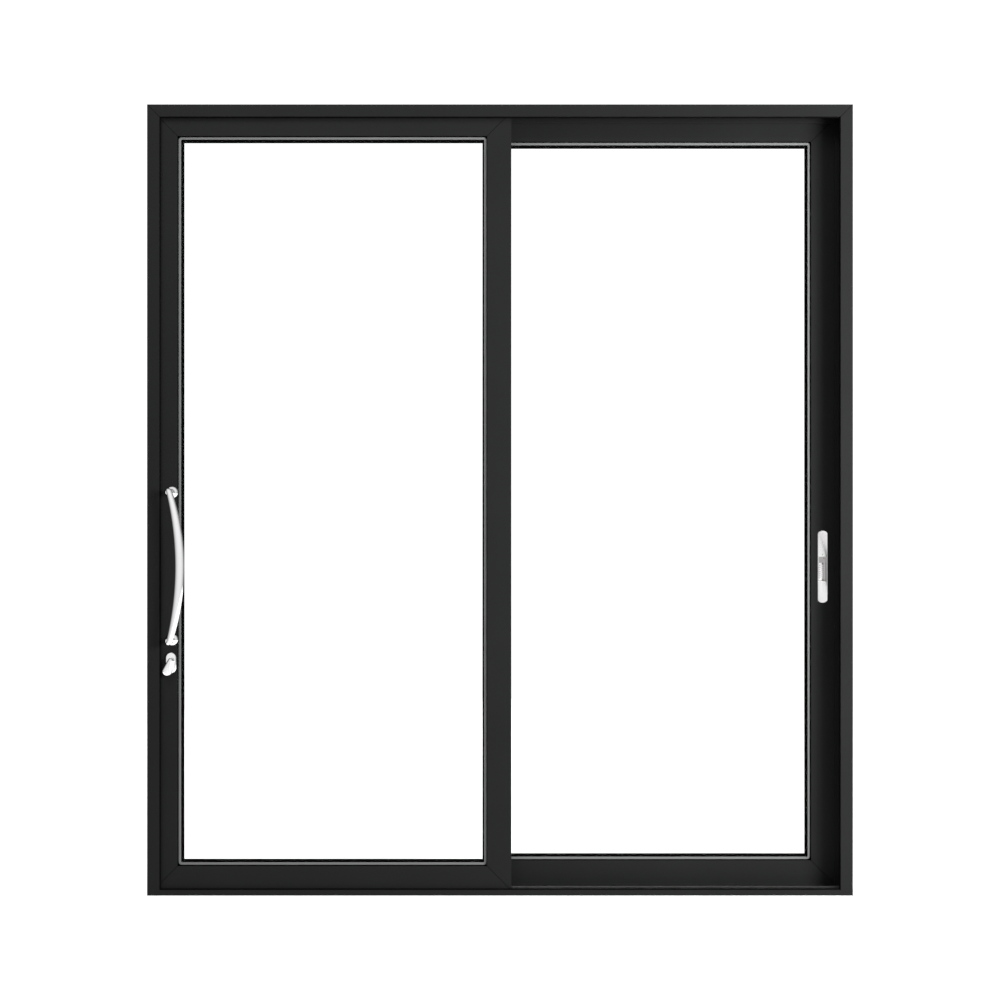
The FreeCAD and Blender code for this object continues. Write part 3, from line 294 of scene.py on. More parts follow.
def rubber(name, colour):
    """Extruded gasket rubber with a fine grain and a dull bloom."""
    finish = Finish(name)
    bloom = finish.noise(scale=30.0, detail=4.0, rough=0.6)
    shaded = finish.between(bloom, low=0.0, high=1.0)
    shade = finish.blend(shaded, rgba(colour, factor=0.88), rgba(colour, factor=1.12))
    rough = finish.between(bloom, low=0.5, high=0.72)
    relief = finish.bump(finish.noise(scale=1600.0), distance=0.05 * MM, strength=0.4)
    shader = finish.surface(
        Base_Color=shade, Roughness=rough, Specular_IOR_Level=0.3, Normal=relief
    )
    return finish.done(shader)


def spacer_bar(name, colour):
    """Dark spacer between the panes, pricked all over with small breathing holes that are darkened with
    painted shade.
    """
    finish = Finish(name)
    holes = {"Vector": finish.place, "Scale": 330.0}
    cells = finish.node("TexVoronoi", {"distance": "EUCLIDEAN"}, holes)
    hole = 1.0 - finish.above(cells, start=0.16, stop=0.26)
    # Painted shade: the holes are darkened, as the shade inside them.
    shade = finish.blend(hole, rgba(colour), rgba(colour, factor=0.2))
    relief = finish.bump(1.0 - hole, distance=0.2 * MM, strength=0.6)
    shader = finish.surface(Base_Color=shade, Roughness=0.9, Specular_IOR_Level=0.0, Normal=relief)
    return finish.done(shader)


def pile_fibre(name, colour):
    """Dense woven pile: fibres that stand side by side, uneven in shade."""
    finish = Finish(name)
    patch_share = 0.4
    tufts = finish.noise(scale=1900.0, detail=3.0, rough=0.7)
    patches = finish.noise(scale=60.0, detail=3.0)
    mottled = finish.between(tufts, low=-0.3, high=1.3)
    shade = finish.blend(mottled, rgba(colour, factor=0.35), rgba(colour, factor=1.7))
    shade = finish.blend(patches * patch_share, shade, rgba(colour, factor=0.7))
    relief = finish.bump(tufts, distance=0.6 * MM, strength=0.9)
    shader = finish.surface(
        Base_Color=shade, Roughness=0.95, Specular_IOR_Level=0.02, Normal=relief
    )
    return finish.done(shader)


def nylon(name, colour):
    """Moulded roller nylon, greyed in patches."""
    finish = Finish(name)
    cloud = finish.noise(scale=160.0, detail=4.0)
    greyed = finish.above(cloud, start=0.35, stop=0.75)
    shade = finish.blend(greyed, rgba(colour), rgba(colour, factor=0.72))
    relief = finish.bump(finish.noise(scale=900.0), distance=0.08 * MM, strength=0.5)
    rough = finish.between(cloud, low=0.35, high=0.55)
    shader = finish.surface(Base_Color=shade, Roughness=rough, Normal=relief)
    return finish.done(shader)


def clear_glass(name, tint):
    """A sheet of clear float glass, brighter where it is seen at a slant."""
    finish = Finish(name)
    face_on, edge_on, falloff = 0.002, 0.95, 5
    film = finish.noise(scale=2.2, detail=4.0, rough=0.6)
    gloss = finish.surface(
        Base_Color=(0.9, 0.93, 0.92, 1.0),
        Metallic=1.0,
        Roughness=finish.between(film, low=0.01, high=0.03),
    )
    through = finish.node("BsdfTransparent", {}, {"Color": rgba(tint)})
    facing = finish.node("LayerWeight", {}, {"Blend": 0.5}, out="Facing")
    mirrored = face_on + edge_on * facing**falloff
    return finish.done(finish.node("MixShader", {}, {"Fac": mirrored, 1: through, 2: gloss}))


def enamel(name, colour):
    """A drop of glossy enamel."""
    finish = Finish(name)
    cloud = finish.noise(scale=900.0)
    shade = finish.blend(cloud, rgba(colour, factor=0.85), rgba(colour, factor=1.1))
    rough = finish.between(cloud, low=0.2, high=0.35)
    return finish.done(finish.surface(Base_Color=shade, Roughness=rough))


def floor_paint(name, colour, near_glow, far_glow):
    """A pale, plain studio floor that brightens away from the door."""
    finish = Finish(name)
    shade = finish.blend(finish.noise(scale=0.8, detail=3.0), rgba(colour, factor=0.99), rgba(colour))
    distance = finish.node("VectorMath", {"operation": "LENGTH"}, {0: finish.place}, out="Value")
    away = finish.above(distance, start=0.8, stop=3.0)
    glow = finish.blend(away, rgba(near_glow), rgba(far_glow))
    shader = finish.surface(
        Base_Color=shade,
        Roughness=0.85,
        Specular_IOR_Level=0.1,
        Emission_Color=glow,
        Emission_Strength=1.0,
    )
    return finish.done(shader)


def coat(piece, material):
    """Puts one material all over a piece."""
    for slot in piece.material_slots:
        slot.material = material
    if not piece.material_slots:
        piece.data.materials.append(material)


def soften(node, width):
    """Rounds the sharp edges of a CAD node with live modifiers, its own mesh left as it is."""
    piece = frame["nodes"][node]
    weld = piece.modifiers.new("joined_triangles", "WELD")
    weld.merge_threshold = 0.002 * MM
    flat = piece.modifiers.new("whole_faces", "DECIMATE")
    flat.decimate_type = "DISSOLVE"
    flat.angle_limit = math.radians(0.6)
    bevel = piece.modifiers.new("rounded_edges", "BEVEL")
    bevel.limit_method = "ANGLE"
    bevel.angle_limit = math.radians(32)
    bevel.width = width
    bevel.segments = 2
    even = piece.modifiers.new("even_shading", "WEIGHTED_NORMAL")
    even.weight = 100
    even.keep_sharp = False


class Workpiece:
    """A mesh that is shaped in edit mode, in the door's own coordinates."""

    def __init__(self, name, primitive, **settings):
        bpy.ops.object.select_all(action="DESELECT")
        getattr(bpy.ops.mesh, f"primitive_{primitive}_add")(**settings)
        self.object = bpy.context.active_object
        self.object.name = name
        self.object.data.name = name
        bpy.ops.object.transform_apply(location=True, rotation=True, scale=True)
        bpy.ops.object.mode_set(mode="EDIT")

    def pick(self, test, kind="faces"):
        """Selects what passes a test of its middle and its normal. An edge has no normal."""
        bpy.ops.mesh.select_mode(type={"faces": "FACE", "edges": "EDGE", "verts": "VERT"}[kind])
        bpy.ops.mesh.select_all(action="DESELECT")
        mesh = bmesh.from_edit_mesh(self.object.data)
        for element in getattr(mesh, kind):
            if kind == "faces":
                middle, normal = element.calc_center_median(), element.normal
            elif kind == "edges":
                first, second = element.verts
                middle, normal = (first.co + second.co) / 2, None
            else:
                middle, normal = element.co, element.normal
            if test(middle, normal):
                element.select_set(True)
        mesh.select_flush_mode()
        bmesh.update_edit_mesh(self.object.data)
        return self

    def pick_all(self):
        bpy.ops.mesh.select_all(action="SELECT")
        return self

    def extrude(self, step):
        bpy.ops.mesh.extrude_region_move(TRANSFORM_OT_translate={"value": tuple(step)})
        return self

    def move(self, step):
        bpy.ops.transform.translate(value=tuple(step))
        return self

    def scale(self, factors, about):
        bpy.ops.transform.resize(value=tuple(factors), center_override=tuple(about))
        return self

    def turn(self, angle, axis, about):
        bpy.ops.transform.rotate(value=angle, orient_axis=axis, center_override=tuple(about))
        return self

    def inset(self, thickness, depth=0.0):
        bpy.ops.mesh.inset(thickness=thickness, depth=depth)
        return self

    def bevel(self, offset, segments):
        bpy.ops.mesh.bevel(offset=offset, segments=segments, affect="EDGES", profile=0.5)
        return self

    def spin(self, angle, centre, axis, steps):
        bpy.ops.mesh.spin(steps=steps, angle=angle, center=tuple(centre), axis=tuple(axis))
        return self

    def bisect(self, place, normal):
        bpy.ops.mesh.bisect(plane_co=tuple(place), plane_no=tuple(normal))
        return self

    def delete_faces(self):
        bpy.ops.mesh.delete(type="FACE")
        return self

    def merge(self, distance=0.001 * MM):
        bpy.ops.mesh.select_all(action="SELECT")
        bpy.ops.mesh.remove_doubles(threshold=distance)
        bpy.ops.mesh.normals_make_consistent(inside=False)
        return self

    def finished(self, angle=35, **modifiers):
        """Leaves edit mode, applies a bevel and a subdivision where asked, and smooths the shading."""
        bpy.ops.mesh.select_all(action="DESELECT")
        bpy.ops.object.mode_set(mode="OBJECT")
        if "bevel" in modifiers:
            bevel = self.object.modifiers.new("rounded_edges", "BEVEL")
            bevel.limit_method = "ANGLE"
            bevel.angle_limit = math.radians(angle)
            bevel.width = modifiers["bevel"]
            bevel.segments = modifiers.get("segments", 2)
            bpy.ops.object.modifier_apply(modifier=bevel.name)
        if "levels" in modifiers:
            smooth = self.object.modifiers.new("smooth_form", "SUBSURF")
            smooth.levels = modifiers["levels"]
            smooth.render_levels = modifiers["levels"]
            bpy.ops.object.modifier_apply(modifier=smooth.name)
        bpy.ops.object.shade_smooth_by_angle(angle=math.radians(angle))
        return self.object


def drawn_out(name, turned, stations, vertices):
    """A closed form extruded through stations: each a middle and the half sizes across it."""
    middle, half = stations[0]
    work = Workpiece(
        name,
        "circle",
        vertices=vertices,
        radius=1.0,
        fill_type="NGON",
        location=tuple(middle),
        rotation=turned,
    )
    work.pick_all().scale(half, middle)
    previous, size = middle, half
    for middle, half in stations[1:]:
        work.extrude(middle - previous)
        work.scale([new / old for new, old in zip(half, size)], middle)
        previous, size = middle, half
    return work.merge()


def lathed(name, foot, profile, vertices):
    """A round form that stands out to the front. Its profile pairs how far out with the radius there."""
    stations = [(foot + FRONT * out, (radius, 1.0, radius)) for out, radius in profile]
    return drawn_out(name, (math.pi / 2, 0, 0), stations, vertices)


def faces_front(normal):
    """True for a face that is turned less than 25 degrees from the front."""
    return normal.y < -math.cos(math.radians(25))


def swept_ring(name, low, high, corner, across):
    """A rectangular section swept round an upright rectangle whose corners are arcs."""
    depth = (low.y + high.y) / 2
    half_up, half_deep = across
    start = Vector(((low.x + high.x) / 2, depth, low.z))
    work = Workpiece(
        name,
        "circle",
        vertices=4,
        radius=math.sqrt(2),
        fill_type="NOTHING",
        location=tuple(start),
        rotation=(0, math.pi / 2, 0),
    )
    work.pick_all().turn(math.pi / 4, "X", start).scale((1.0, half_deep, half_up), start)
    reach = (high.x - low.x) / 2 - corner
    rise = high.z - low.z - 2 * corner
    runs = [ALONG * reach, UP * rise, -ALONG * 2 * reach, -UP * rise, ALONG * reach]
    centres = [
        Vector((high.x - corner, depth, low.z + corner)),
        Vector((high.x - corner, depth, high.z - corner)),
        Vector((low.x + corner, depth, high.z - corner)),
        Vector((low.x + corner, depth, low.z + corner)),
    ]
    for run, centre in zip(runs, centres):
        work.extrude(run)
        work.spin(math.pi / 2, centre, (0, 1, 0), steps=6)
    work.extrude(runs[-1])
    return work.merge(0.01 * MM)


def oval(name, centre, radius, rise, drop, top=1.0, squash=1.0, vertices=48):
    """A filled circle that faces the front, parted into halves that are moved up and down."""
    work = Workpiece(
        name,
        "circle",
        vertices=vertices,
        radius=radius,
        fill_type="NGON",
        location=tuple(centre),
        rotation=(math.pi / 2, math.pi / vertices, 0),
    )
    work.pick_all().scale((1.0, 1.0, squash), centre)
    work.pick(lambda co, normal: co.z < centre.z, "verts").move(-UP * drop)
    work.pick(lambda co, normal: co.z > centre.z, "verts")
    return work.scale((top, 1.0, top), centre).move(UP * rise)


def repeated(master, name, places):
    """Joins copies of a piece modelled at the origin facing the front, each with its own mesh."""
    copies = []
    for point, facing in places:
        copy = master.copy()
        copy.data = master.data.copy()
        turned = FRONT.rotation_difference(facing).to_matrix().to_4x4()
        copy.data.transform(Matrix.Translation(point) @ turned)
        bpy.context.scene.collection.objects.link(copy)
        copies.append(copy)
    bpy.ops.object.select_all(action="DESELECT")
    for copy in copies:
        copy.select_set(True)
    bpy.context.view_layer.objects.active = copies[0]
    bpy.ops.object.join()
    copies[0].name = name
    copies[0].data.name = name
    return copies[0]


def place_piece(piece, body, slot, material, *replaced):
    """Gives a finished piece its material and its body, and hides the nodes it stands for. The slot is not
    used.
    """
    coat(piece, material)
    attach(piece, body)
    if replaced:
        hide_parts(*replaced)
    return piece


def colour(name, description, *shade):
    return FloatVectorProperty(name=name, description=description, subtype="COLOR", default=shade)


def length(name, description, millimetres):
    return FloatProperty(
        name=name,
        description=description,
        subtype="DISTANCE",
        unit="LENGTH",
        default=millimetres * MM,
    )


def amount(name, description, value):
    return FloatProperty(name=name, description=description, default=value)


class FinishSettings(bpy.types.PropertyGroup):
    """Colours and softness of the door's finishes."""

    aluminium: colour("Aluminium", "Powder coat on the frame and the panels", 0.0060, 0.0061, 0.0062)
    gasket: colour("Gasket", "Rubber round the glass", 0.068, 0.069, 0.069)
    # The pile's black is darker than real pile, so it also paints the shade in the gaps between the frame's
    # lips and the panels.
    pile: colour("Pile", "The weatherstrips' pile", 0.002, 0.002, 0.002)
    glass: colour("Glass", "Tint of each pane", 0.994, 0.999, 0.997)
    chrome: colour("Chrome", "Plating on the handle and the lock", 0.88, 0.88, 0.89)
    edge_radius: length("Edge radius", "Rounding of the aluminium's long edges", 0.45)


class HandleSettings(bpy.types.PropertyGroup):
    """Sizes of the handle, the lock, the flush pull, the gaskets and the screws."""

    bar_end: length("Bar end", "Width of the pull handle's bar at its ends", 15)
    bar_middle: length("Bar middle", "Width of the bar at its middle", 24)
    bar_end_depth: length("Bar end depth", "Thickness of the bar at its ends", 12)
    bar_middle_depth: length("Bar middle depth", "Thickness of the bar at its middle", 14)
    post: length("Post", "Radius of the handle's posts", 7)
    turn_lobe: length("Thumb turn's round end", "Radius of the thumb turn's round end", 12.5)
    turn_tip: length("Thumb turn's tip", "Radius of the thumb turn's narrow end", 7.5)
    turn_drop: length("Thumb turn's drop", "Shaft to the middle of the round end", 21)
    turn_rise: length("Thumb turn's rise", "Shaft to the middle of the narrow end", 7)
    turn_depth: length("Thumb turn's depth", "Thickness of the thumb turn", 11)
    turn_shaft: length("Thumb turn's shaft", "Radius of the thumb turn's shaft", 5)
    plate_arch: length("Plate's arch", "Rise of the flush pull plate's ends", 8.5)
    plate_rim: length("Plate's rim", "Raised rim round the flush pull's plate", 0.8)
    cup_wall: length("Cup's wall", "Wall of the flush pull's recess", 1.2)
    catch_grooves: IntProperty(name="Grooves", description="Grip grooves across the catch", default=7)
    gasket_line: length("Gasket's line", "Gasket's heel to the middle of its nose", 7.6)
    gasket_nose: length("Gasket's nose", "Half the width of the gasket's nose", 3.15)
    gasket_height: length("Gasket's height", "Gasket's nose above the glass", 2.5)
    gasket_corner: length("Gasket's corner", "Radius of the gasket's corners", 5)
    screw: length("Screw", "Radius of the screws' heads", 3.6)
    turn_tilt: FloatProperty(
        name="Thumb turn's tilt",
        description="Lean of the thumb turn from upright",
        subtype="ANGLE",
        default=math.radians(19),
    )


class StudioSettings(bpy.types.PropertyGroup):
    """Camera and light."""

    distance: length("Camera distance", "Camera to the face of the frame", 3500)
    lens: amount("Lens", "Focal length of the camera, in millimetres", 49.41)
    walls: amount("Walls", "Brightness of the studio's far walls as they light the door", 0.16)
    window: amount("Window", "Brightness of the wide soft light in front of the door", 1.02)
    backdrop: amount("Backdrop", "Brightness of the studio's walls as they are seen", 1.15)
    key: amount("Key light", "Power of the soft light on the left", 90.0)
    fill: amount("Fill light", "Power of the soft light on the right", 310.0)
    back: amount("Back light", "Power of the soft light behind the door", 240.0)


def finishes():
    return bpy.context.scene.door_finish


def handle_sizes():
    return bpy.context.scene.door_handle


class DOOR_OT_stage(bpy.types.Operator):
    """Sets up the floor, the light and the camera"""

    bl_idname = "door.stage"
    bl_label = "Studio"

    def execute(self, context):
        studio = context.scene.door_studio
        low, high = CAD_BOX
        self.add_floor(low.z)
        self.light_world(context, studio)
        for name, (place, width, aim) in SOFTBOXES.items():
            self.add_softbox(context, name + "_softbox", place, width, getattr(studio, name), aim)
        lens = bpy.data.cameras.new("door_camera")
        lens.lens = studio.lens
        lens.sensor_width = 36.0
        camera = bpy.data.objects.new("door_camera", lens)
        camera.location = (0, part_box("head")[0].y - studio.distance, (low.z + high.z) / 2)
        camera.rotation_euler = (math.pi / 2, 0, 0)
        context.scene.collection.objects.link(camera)
        context.scene.camera = camera
        context.scene.view_settings.view_transform = "Standard"
        return {"FINISHED"}

    @staticmethod
    def add_floor(height):
        """A disc that ends behind the door, where the pale backdrop takes over."""
        radius, border = 3.4, 1.0
        floor = Workpiece(
            "studio_floor",
            "circle",
            vertices=96,
            radius=radius,
            fill_type="NGON",
            location=(0, 0, height),
        )
        floor = floor.pick_all().inset(border).finished()
        shade, near_glow, far_glow = (0.26,) * 3, (0.76,) * 3, (0.84,) * 3
        coat(floor, floor_paint("studio_floor_paint", shade, near_glow, far_glow))

    @staticmethod
    def light_world(context, studio):
        """Pale all over where it is seen. It lights the door from the front more than from behind."""
        world = bpy.data.worlds.new("studio_walls")
        context.scene.world = world
        walls = NodeTree(world)
        way = walls.node("TexCoord", out="Generated")
        window_way, darkest = (0.0, -0.96, 0.28), -0.1
        cosine = {"operation": "DOT_PRODUCT"}
        towards = walls.node("VectorMath", cosine, {0: way, 1: window_way}, out="Value")
        spread = {"From Min": darkest, "To Min": studio.walls, "To Max": studio.window}
        share = walls.node("MapRange", {}, {"Value": towards, **spread})
        white = (1.0, 1.0, 1.0, 1.0)
        lit = walls.node("Background", {}, {"Color": white, "Strength": share})
        shown = walls.node("Background", {}, {"Color": white, "Strength": studio.backdrop})
        seen = walls.node("LightPath", out="Is Camera Ray")
        walls.node("OutputWorld", {}, {"Surface": walls.node("MixShader", {}, {0: seen, 1: lit, 2: shown})})

    @staticmethod
    def add_softbox(context, name, place, width, power, aim):
        """A round soft light that doesn't show in the chrome."""
        light = bpy.data.lights.new(name, "AREA")
        light.shape = "DISK"
        light.size = width
        light.energy = power
        box = bpy.data.objects.new(name, light)
        box.location = place
        box.rotation_euler = (Vector(aim) - Vector(place)).to_track_quat("-Z", "Y").to_euler()
        box.visible_glossy = False
        context.scene.collection.objects.link(box)


class DOOR_OT_frame(bpy.types.Operator):
    """Coats the frame, its tracks and its weatherstrips, and rounds the metal's edges"""

    bl_idname = "door.frame"
    bl_label = "Frame"

    def execute(self, context):
        # Only the top corners are mitred, so the seams start halfway up.
        outline = (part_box("left_jamb")[0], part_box("right_jamb")[1])
        seam = (outline, (outline[0].z + outline[1].z) / 2)
        material = powder_coat("frame_powder_coat", finishes().aluminium, seam, dusty=True)
        for node in FRAME_NODES:
            coat(frame["nodes"][node], material)
            soften(node, finishes().edge_radius)
        steel = brushed_metal("track_steel", (0.4, 0.4, 0.4), rough=0.42, grain_axis="X", wear=0.25)
        for node in TRACK_NODES:
            coat(frame["nodes"][node], steel)
            soften(node, 0.3 * MM)
        # Black pile, darkened past real pile so that it also stands in for the shade in the gaps at the
        # lips.
        pile = pile_fibre("pile_fibre", finishes().pile)
        for node in PILE_NODES:
            coat(frame["nodes"][node], pile)
        return {"FINISHED"}


class DOOR_OT_panels(bpy.types.Operator):
    """Coats the stiles, rails, beads and interlocks and rounds their edges"""

    bl_idname = "door.panels"
    bl_label = "Panels"

    def execute(self, context):
        for panel, nodes in SASH_NODES.items():
            outline = (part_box(nodes[0])[0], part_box(nodes[1])[1])
            seam = (outline, outline[0].z)
            side = panel.removesuffix("_panel")
            material = powder_coat(side + "_panel_powder_coat", finishes().aluminium, seam)
            for node in (*nodes, side + "_glazing_bead", side + "_interlock"):
                coat(frame["nodes"][node], material)
                soften(node, finishes().edge_radius)
        return {"FINISHED"}


class DOOR_OT_glass(bpy.types.Operator):
    """Finishes the panes, spacers and gaskets"""

    bl_idname = "door.glass"
    bl_label = "Glass and gaskets"

    def execute(self, context):
        glass = clear_glass("clear_float_glass", finishes().glass)
        for node in PANE_NODES:
            coat(frame["nodes"][node], glass)
        black = spacer_bar("spacer_bar", (0.001, 0.001, 0.001))
        for node in SPACER_NODES:
            coat(frame["nodes"][node], black)
        grey = rubber("gasket_rubber", finishes().gasket)
        for side in ("front", "rear"):
            self.add_gaskets(side, grey)
        return {"FINISHED"}

    @staticmethod
    def add_gaskets(side, material):
        """The rounded noses that show on both sides of the glass."""
        low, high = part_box(side + "_gaskets")
        sizes = handle_sizes()
        edge = sizes.gasket_line
        half = sizes.gasket_height / 2
        rounding = 0.3 * sizes.gasket_height
        pane_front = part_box(side + "_glass_front_pane")[0].y
        pane_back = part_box(side + "_glass_back_pane")[1].y
        for place, middle in (("inside", pane_front - half), ("outside", pane_back + half)):
            ring_low = Vector((low.x + edge, middle, low.z + edge))
            ring_high = Vector((high.x - edge, middle, high.z - edge))
            name = f"{side}_{place}_gasket"
            ring = swept_ring(name, ring_low, ring_high, sizes.gasket_corner, (sizes.gasket_nose, half))
            nodes = (side + "_gaskets",) if place == "inside" else ()
            ring = ring.finished(angle=60, bevel=rounding, segments=3)
            place_piece(ring, side + "_panel", "gasket", material, *nodes)


class DOOR_OT_pull_handle(bpy.types.Operator):
    """Models the bowed bar and its two posts"""

    bl_idname = "door.pull_handle"
    bl_label = "Pull handle"

    def execute(self, context):
        chrome = polished_chrome("handle_chrome", finishes().chrome, rough=0.06)
        self.add_bar(chrome)
        self.add_posts(chrome)
        return {"FINISHED"}

    @staticmethod
    def add_bar(material):
        sizes = handle_sizes()
        low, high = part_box("pull_handle_bar")
        posts_low, posts_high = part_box("pull_handle_posts")
        end_x, end_y = (posts_low.x + posts_high.x) / 2, posts_low.y
        bow = high.x - sizes.bar_middle / 2 - end_x
        forward = end_y - sizes.bar_middle_depth / 2 - low.y
        half_length, middle_z = (high.z - low.z) / 2, (high.z + low.z) / 2
        stations = []
        count, smallest = 48, 0.004
        for step in range(count + 1):
            share = -math.cos(math.pi * step / count)
            swell = 1 - share * share
            width = sizes.bar_end + (sizes.bar_middle - sizes.bar_end) * swell
            depth = sizes.bar_end_depth + (sizes.bar_middle_depth - sizes.bar_end_depth) * swell
            cap = sizes.bar_end / 2
            into_cap = max(0.0, 1 - half_length * (1 - abs(share)) / cap)
            rounding = math.sqrt(max(smallest, 1 - into_cap**2))
            middle = Vector((end_x + bow * swell, end_y - forward * swell, middle_z + half_length * share))
            stations.append((middle, (width / 2 * rounding, depth / 2 * rounding, 1.0)))
        bar = drawn_out("handle_bar", (0, 0, 0), stations, vertices=20).finished(angle=80, levels=1)
        place_piece(bar, "front_panel", "handle_chrome", material, "pull_handle_bar")

    @staticmethod
    def add_posts(material):
        low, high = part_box("pull_handle_posts")
        radius = (high.x - low.x) / 2
        post = handle_sizes().post
        profile = (
            (0.0, radius),
            (1.6 * MM, radius),
            (2.8 * MM, radius - 0.5 * MM),
            (4.2 * MM, radius - 2.2 * MM),
            (5.4 * MM, radius - 4.8 * MM),
            (6.4 * MM, post + 1.2 * MM),
            (8.2 * MM, post + 0.2 * MM),
            (10.0 * MM, post),
            (high.y - low.y, post),
        )
        for place, z in (("lower", low.z + radius), ("upper", high.z - radius)):
            foot = Vector((low.x + radius, high.y, z))
            rose = lathed(f"handle_{place}_post", foot, profile, vertices=48).finished(angle=50)
            nodes = ("pull_handle_posts",) if place == "lower" else ()
            place_piece(rose, "front_panel", "handle_chrome", material, *nodes)


class DOOR_OT_lock(bpy.types.Operator):
    """Models the lock's oval rose and the thumb turn"""

    bl_idname = "door.lock"
    bl_label = "Lock and thumb turn"

    def execute(self, context):
        chrome = polished_chrome("lock_chrome", finishes().chrome, rough=0.09)
        self.add_rose(chrome)
        self.add_turn(chrome)
        return {"FINISHED"}

    @staticmethod
    def add_rose(material):
        low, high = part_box("lock_rose")
        radius = (high.x - low.x) / 2
        straight = (high.z - low.z) / 2 - radius
        centre = Vector(((low.x + high.x) / 2, high.y, (low.z + high.z) / 2))
        work = oval("lock_oval_rose", centre, radius, straight, straight)
        thick = high.y - low.y
        # Each height is a share of the thickness and each inset a share of the radius.
        height, inset = 0.4, 0.0
        shoulder = ((0.62, 0.035), (0.8, 0.1), (0.93, 0.2), (1.0, 0.34))
        work.pick_all().extrude(FRONT * thick * height)
        for next_height, next_inset in shoulder:
            work.extrude(FRONT * thick * (next_height - height))
            step = radius * (next_inset - inset)
            reach = radius * (1 - inset)
            squeeze = (1 - step / reach, 1.0, 1 - step / (reach + straight))
            work.scale(squeeze, centre)
            height, inset = next_height, next_inset
        place_piece(work.merge().finished(angle=60), "front_panel", "handle_chrome", material, "lock_rose")

    @staticmethod
    def add_turn(material):
        joint = [j for j in frame["joints"] if j["name"] == "thumb_turn_pivot"][0]
        pivot = Vector(joint["pos_m"])
        low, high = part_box("thumb_turn")
        sizes = handle_sizes()
        back = low.y + sizes.turn_depth
        centre = Vector((pivot.x, back, pivot.z))
        top = sizes.turn_tip / sizes.turn_lobe
        work = oval("thumb_turn_grip", centre, sizes.turn_lobe, sizes.turn_rise, sizes.turn_drop, top)
        work.pick_all().extrude(FRONT * sizes.turn_depth)
        hair, front_round, back_round = 0.1 * MM, 0.62, 0.15
        front_rim = work.pick(lambda co, normal: co.y < low.y + hair, "edges")
        front_rim.bevel(front_round * sizes.turn_depth, segments=8)
        back_rim = work.pick(lambda co, normal: co.y > back - hair, "edges")
        back_rim.bevel(back_round * sizes.turn_depth, segments=3)
        work.pick_all().turn(-sizes.turn_tilt, "Y", pivot)
        grip = work.merge().finished(angle=60)
        place_piece(grip, "thumb_turn", "handle_chrome", material, "thumb_turn")
        radius, reach = sizes.turn_shaft, high.y - back
        foot = Vector((pivot.x, high.y, pivot.z))
        profile = ((0.0, radius), (reach - 0.2 * MM, radius), (reach + 2 * MM, 0.9 * radius))
        shaft = lathed("thumb_turn_shaft", foot, profile, vertices=32).finished(angle=50)
        place_piece(shaft, "thumb_turn", "handle_chrome", material)


